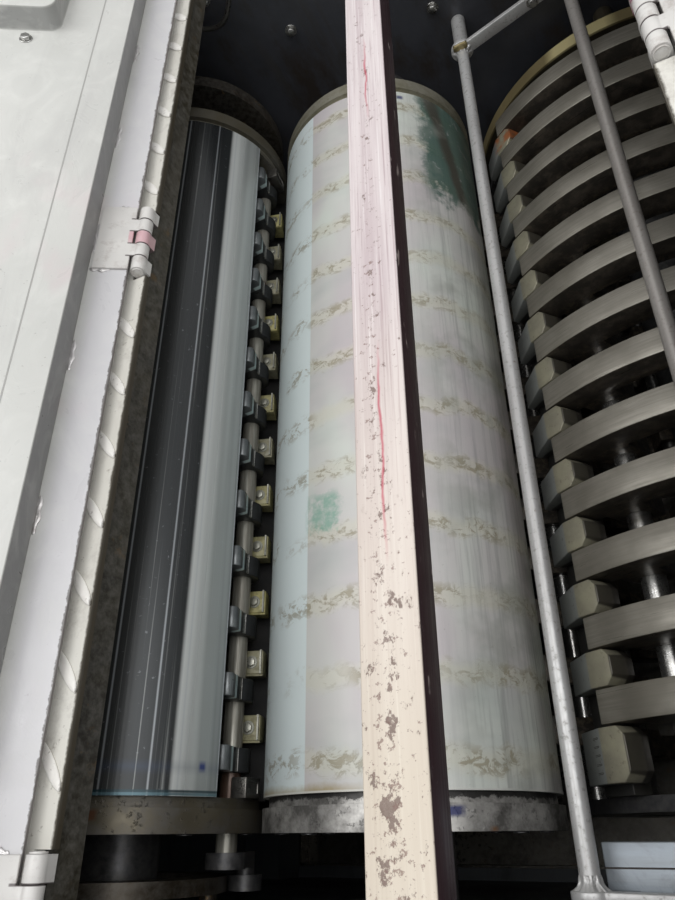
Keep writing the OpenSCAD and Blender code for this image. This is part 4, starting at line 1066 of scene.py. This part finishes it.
def polar_place(axis, reach, angle, y, up="out"):
    """A place on a cylinder, whose own upright points outwards, or round it."""
    turn = math.radians(angle)
    out = Vector((math.cos(turn), 0, math.sin(turn)))
    way = Vector((-math.sin(turn), 0, math.cos(turn)))
    along = Vector((0, 1, 0))
    rise = out if up == "out" else way
    place = Matrix((along.cross(rise), along, rise)).transposed().to_4x4()
    place.translation = Vector((axis[0], y, axis[1])) + out * reach
    return place


finger_rows = [FIRST_GRIPPER + k * GRIPPER_PITCH for k in range(13)]
pad_rows = [y + GRIPPER_PITCH / 2 for y in finger_rows[:-1]]

dressed("gripper_fingers", "left_cylinder", "finger_steel", 0.0009)
dressed("gripper_pads", "left_cylinder", "pad_coat", 0.0007)

blade = shaped_block("blade_shape", (0.0052, 0.0196, 0.0018), "bright_steel", 0.0004, 0.0009, 0.0004)
clamp = shaped_block("clamp_shape", (0.012, 0.0150, 0.010), "dark_steel", 0.0012, 0.0028, 0.0030)
clamp_screw = cap_screw("clamp_screw_shape", 0.0034, 0.0030, "bright_steel")
cheek = shaped_block("cheek_shape", (0.0016, 0.0224, 0.0030), "cheek_steel", 0.0004, 0.0004, 0.0002)
pad_nut = hex_bolt("pad_nut_shape", 0.0046, 0.0030, "cheek_steel")
lip = shaped_block("lip_shape", (0.0290, 0.0018, 0.0050), "pad_coat", 0.0005, 0.0004, 0.0002)

# Each fitting with its name, its rows and how far off them it sits, its reaches, angle, upright and slot
for shape, name, rows, off, reaches, angle, up, slot in (
        (blade, "gripper_blades", finger_rows, 0.0, (0.1165,), -1.2, "out", "bright_steel"),
        (clamp, "gripper_clamps", finger_rows, 0.0, (0.1000,), -21.0, "way", "dark_steel"),
        (clamp_screw, "gripper_clamp_screws", finger_rows, 0.0010, (0.1055,), -15.3, "way", "bright_steel"),
        (cheek, "pad_cheeks", pad_rows, 0.0, (0.1015, 0.1222), -17.0, "way", "bright_steel"),
        (pad_nut, "pad_nuts", pad_rows, 0.0, (0.1125,), -17.0, "way", "pad_coat"),
        (lip, "pad_lips", pad_rows, -0.0122, (0.1095,), -19.3, "way", "pad_coat")):
    places = [polar_place(LEFT_AXIS, reach, angle, y + off, up) for y in rows for reach in reaches]
    repeated(shape, name, places, "left_cylinder")

# A bearing for the gripper shaft at each end of the channel
bearing_block = shaped_block("bearing_shape", (0.030, 0.0165, 0.0140), "gear_iron", 0.0020, 0.0040, 0.0015)
ends = [polar_place(LEFT_AXIS, 0.1125, -9.0, y) for y in (0.0345 - MIDDLE, 0.7985 - MIDDLE)]
repeated(bearing_block, "gripper_shaft_bearings", ends, "left_cylinder")

# Skeleton drum: broken edges on the ribs and blocks, slots in the first block, and a screw in each other one

for node in ("drum_ribs_a", "drum_ribs_b"):
    dressed(node, "drum", "rib_steel", 0.0016)
dressed("drum_blocks", "drum", "block_steel", 0.0008)
slot_line = shaped_block("slot_shape", (0.0190, 0.0014, 0.0006), "dirt_line", 0, 0.0004, 0.0003)
BLOCK_SLOPE = math.radians(-21)
BLOCK_STARTS = (129.0, -51.0)
first_block = FIRST_RIB - RIB_PITCH / 2 - 0.006
slots = []
for start in BLOCK_STARTS:
    for share in (-0.0130, -0.0065, 0.0005, 0.0070, 0.0135):
        ridge = polar_place(DRUM_AXIS, RIB_RADIUS, start + 1.01, first_block + share)
        slots.append(ridge @ turned(BLOCK_SLOPE, "Y") @ moved(-0.0140, 0, -0.0003))
repeated(slot_line, "first_block_slots", slots, "drum")
block_screw = cap_screw("block_screw_shape", 0.0042, 0.0024, "dark_steel")
row = [FIRST_RIB - RIB_PITCH / 2 + k * RIB_PITCH for k in range(1, 13)]
places = [polar_place(DRUM_AXIS, 0.2290, start + 12.6, y) for y in row for start in BLOCK_STARTS]
repeated(block_screw, "block_screws", places, "drum")

# Screws in the end faces of the cylinders' bearers

SCREW_CIRCLE = 0.112
bearer_screw = cap_screw("bearer_screw_shape", 0.0060, 0.0014, "dark_steel")
for word, axis, body in (("left", LEFT_AXIS, "left_cylinder"), ("middle", MIDDLE_AXIS, "middle_cylinder")):
    places = []
    for k in range(8):
        turn = math.radians(22.5 + 45 * k)
        x, z = axis[0] + SCREW_CIRCLE * math.cos(turn), axis[1] + SCREW_CIRCLE * math.sin(turn)
        places.append(standing(x, -MIDDLE, z, (0, -1, 0)))
        places.append(standing(x, BEARER_WIDTH - MIDDLE, z, (0, 1, 0)))
    repeated(bearer_screw, word + "_bearer_screws", places, body, keep=word == "left")

# Bolts and oil pipes on the side frames' inner faces

frame_bolt = hex_bolt("frame_bolt_shape", 0.0058, 0.0060, "bright_steel")
spots = ((-0.470, 0.80), (-0.240, 0.845), (-0.160, 0.760), (-0.020, 0.835), (0.060, 0.760), (0.118, 0.742),
         (0.020, 0.700), (0.300, 0.830), (0.420, 0.720), (0.500, 0.560), (-0.480, 0.520), (-0.200, 0.420),
         (0.0, 0.330), (0.505, 0.300))
places = [standing(x, y, z, (0, way, 0), 0.4 * k)
          for y, way in ((OPERATOR_FACE, 1), (DRIVE_FACE, -1)) for k, (x, z) in enumerate(spots)]
repeated(frame_bolt, "frame_bolts", places)


def swept_pipe(name, points, radius, finish):
    """A bent pipe, drawn by running a ring along its way."""
    clear_selection()
    bpy.ops.curve.primitive_bezier_curve_add()
    path = bpy.context.object
    path.name = name
    spline = path.data.splines[0]
    spline.bezier_points.add(len(points) - 2)
    for point, place in zip(spline.bezier_points, points):
        point.co = place
        point.handle_left_type = "AUTO"
        point.handle_right_type = "AUTO"
    path.data.bevel_depth = radius
    path.data.bevel_resolution = 3
    path.data.resolution_u = 8
    path.data.use_fill_caps = True
    settle(path)
    bpy.ops.object.convert(target="MESH")
    return finished(bpy.context.object, finish, 0, 1, 50)


# Each pipe's bends, as x, how far it stands off the drive side, and height
PIPES = (((-0.020, 0.0, 0.870), (0.005, 0.004, 0.815), (0.050, 0.004, 0.800), (0.075, 0.0, 0.850)),
         ((-0.300, 0.0, 0.860), (-0.240, 0.006, 0.815), (-0.180, 0.006, 0.850), (-0.120, 0.0, 0.805)))
for number, bends in enumerate(PIPES):
    points = [(x, DRIVE_FACE - 0.007 - off, z) for x, off, z in bends]
    held(swept_pipe("oil_pipe_%d" % (number + 1), points, 0.0034, "gear_iron"), "frame")

# The clip that holds the lower guard rod's far end, and a bolt on each arm

clip = shaped_block("rod_clip", (0.018, 0.006, 0.006), "brass_glint", 0.0012, 0.0018, 0.0010)
clip.matrix_world = standing(0.044, 0.888 - MIDDLE - 0.009, 0.668 + 0.0068, (0, 0, 1))
held(clip, "frame")
arm_bolt = hex_bolt("arm_bolt_shape", 0.0055, 0.0045, "bright_steel")
arm_places = [standing(0.139, y - MIDDLE, 0.689, (0, way, 0)) for y, way in ((-0.035, 1), (0.882, -1))]
repeated(arm_bolt, "guard_arm_bolts", arm_places)

# Operator side and covers: door panels, louvres, screws, handle seats and the control box's rim

COVER_FACE = -0.6185
DOORS = (-0.270, 0.270)
dressed("operator_cover", "frame", "cover_paint", 0.0030, 3)
doors = []
for x in DOORS:
    door = shaped_block("door_shape", (0.500, 0.760, 0.0030), "cover_paint", 0.0010, 0.0080, 0.0012)
    door.matrix_world = moved(x, COVER_FACE, 0.476) @ turned(QUARTER_TURN, "X")
    doors.append(door)
joined(doors, "operator_door_panels", "frame")
door_screw = cap_screw("door_screw_shape", 0.0048, 0.0026, "bright_steel")
screw_places = [standing(x + side * 0.236, COVER_FACE - 0.0016, z, (0, -1, 0))
                for x in DOORS for side in (-1, 1) for z in (0.112, 0.476, 0.840)]
repeated(door_screw, "door_screws", screw_places)
louvre = shaped_block("louvre_shape", (0.150, 0.0120, 0.0045), "cover_paint", 0.0016, 0.0030, 0.0014)
louvre_places = [moved(x, COVER_FACE - 0.0012, 0.160 + 0.022 * k) @ turned(QUARTER_TURN, "X")
                 for x in DOORS for k in range(7)]
repeated(louvre, "door_louvres", louvre_places, "frame")
handle_seat = cap_screw("handle_seat_shape", 0.0150, 0.0030, "bright_steel")
seats = [standing(x, COVER_FACE - 0.0010, z, (0, -1, 0)) for x in (-0.280, 0.280) for z in (0.412, 0.560)]
repeated(handle_seat, "handle_seats", seats)
dressed("cover_handles", "frame", "bright_steel", 0.0008)
dressed("control_box", "frame", "box_paint", 0.0035, 3)
dressed("push_buttons", "frame", "green_button", 0.0014, 3)
dressed("gear_case", "frame", "cover_paint", 0.0040, 3)
box_rim = shaped_block("box_rim", (0.108, 0.178, 0.0016), "box_paint", 0.0006, 0.0050, 0.0008)
box_rim.matrix_world = moved(0, -0.6635, 0.727) @ turned(QUARTER_TURN, "X")
held(box_rim, "frame")


# Camera, where the photograph was taken from, looking down into the bay

forward = Vector((-0.3847, 0.4798, -0.7886))
right = Vector((0.8988, 0, -0.4384))
up = Vector((0.2103, 0.8774, 0.4312))
yaw = math.radians(-0.8)
roll = math.radians(-0.95)
ahead = forward * math.cos(yaw) + right * math.sin(yaw)
beside = right * math.cos(yaw) - forward * math.sin(yaw)
across = beside * math.cos(roll) + up * math.sin(roll)
above = up * math.cos(roll) - beside * math.sin(roll)
lens = bpy.data.cameras.new("bay_camera")
lens.lens = 28
lens.sensor_width = 36
lens.clip_start = 0.01
camera = bpy.data.objects.new("bay_camera", lens)
scene.collection.objects.link(camera)
facing = Matrix((across, above, -ahead)).transposed().to_4x4()
camera.matrix_world = moved(0.1435, -MIDDLE, 1.230) @ facing
scene.camera = camera

# Floor, world and lamps

scene.view_settings.view_transform = "Standard"


def studio_white():
    """A pale diffuse ground that keeps the shadow."""
    f = Finish("studio_floor", 0.9)
    f.colour = f.tint(f.grain(0.8, 3, 0.5) * 0.2, (240, 240, 238), (232, 232, 230))
    return f.finish()


bpy.ops.mesh.primitive_plane_add(size=30, location=(0, 0, 0))
floor = bpy.context.object
floor.name = "studio_floor"
floor.data.materials.append(studio_white())

world = bpy.data.worlds.new("studio")
scene.world = world
world.use_nodes = True
sky = world.node_tree
background = sky.nodes["Background"]
rays = sky.nodes.new("ShaderNodeLightPath")
seen = rays.outputs["Is Camera Ray"]
for kind in ("Is Glossy Ray", "Is Transmission Ray"):
    either = sky.nodes.new("ShaderNodeMath")
    either.operation = "MAXIMUM"
    sky.links.new(seen, either.inputs[0])
    sky.links.new(rays.outputs[kind], either.inputs[1])
    seen = either.outputs[0]
level = sky.nodes.new("ShaderNodeMapRange")
level.inputs["To Min"].default_value = 0.35
level.inputs["To Max"].default_value = 1.0
sky.links.new(seen, level.inputs["Value"])
sky.links.new(level.outputs[0], background.inputs["Strength"])
background.inputs["Color"].default_value = (1, 1, 1, 1)


def lamp(name, place, target, size, power):
    light = bpy.data.lights.new(name, "AREA")
    light.shape = "RECTANGLE"
    light.size, light.size_y = size
    light.energy = power
    holder = bpy.data.objects.new(name, light)
    scene.collection.objects.link(holder)
    holder.location = place
    holder.rotation_euler = (Vector(target) - Vector(place)).to_track_quat("-Z", "Y").to_euler()


lamp("overhead_left", (-0.75, 0.0, 3.0), (-0.05, 0, 0.7), (1.2, 2.0), 26)
lamp("overhead_right", (0.95, 0.0, 3.0), (0.05, 0, 0.7), (1.2, 2.0), 22)
lamp("side_soft", (2.7, -0.4, 2.3), (0, 0, 0.6), (1.8, 1.8), 13)
lamp("near_soft", (0.3, -2.2, 2.6), (0, 0.2, 0.6), (1.6, 1.6), 9)
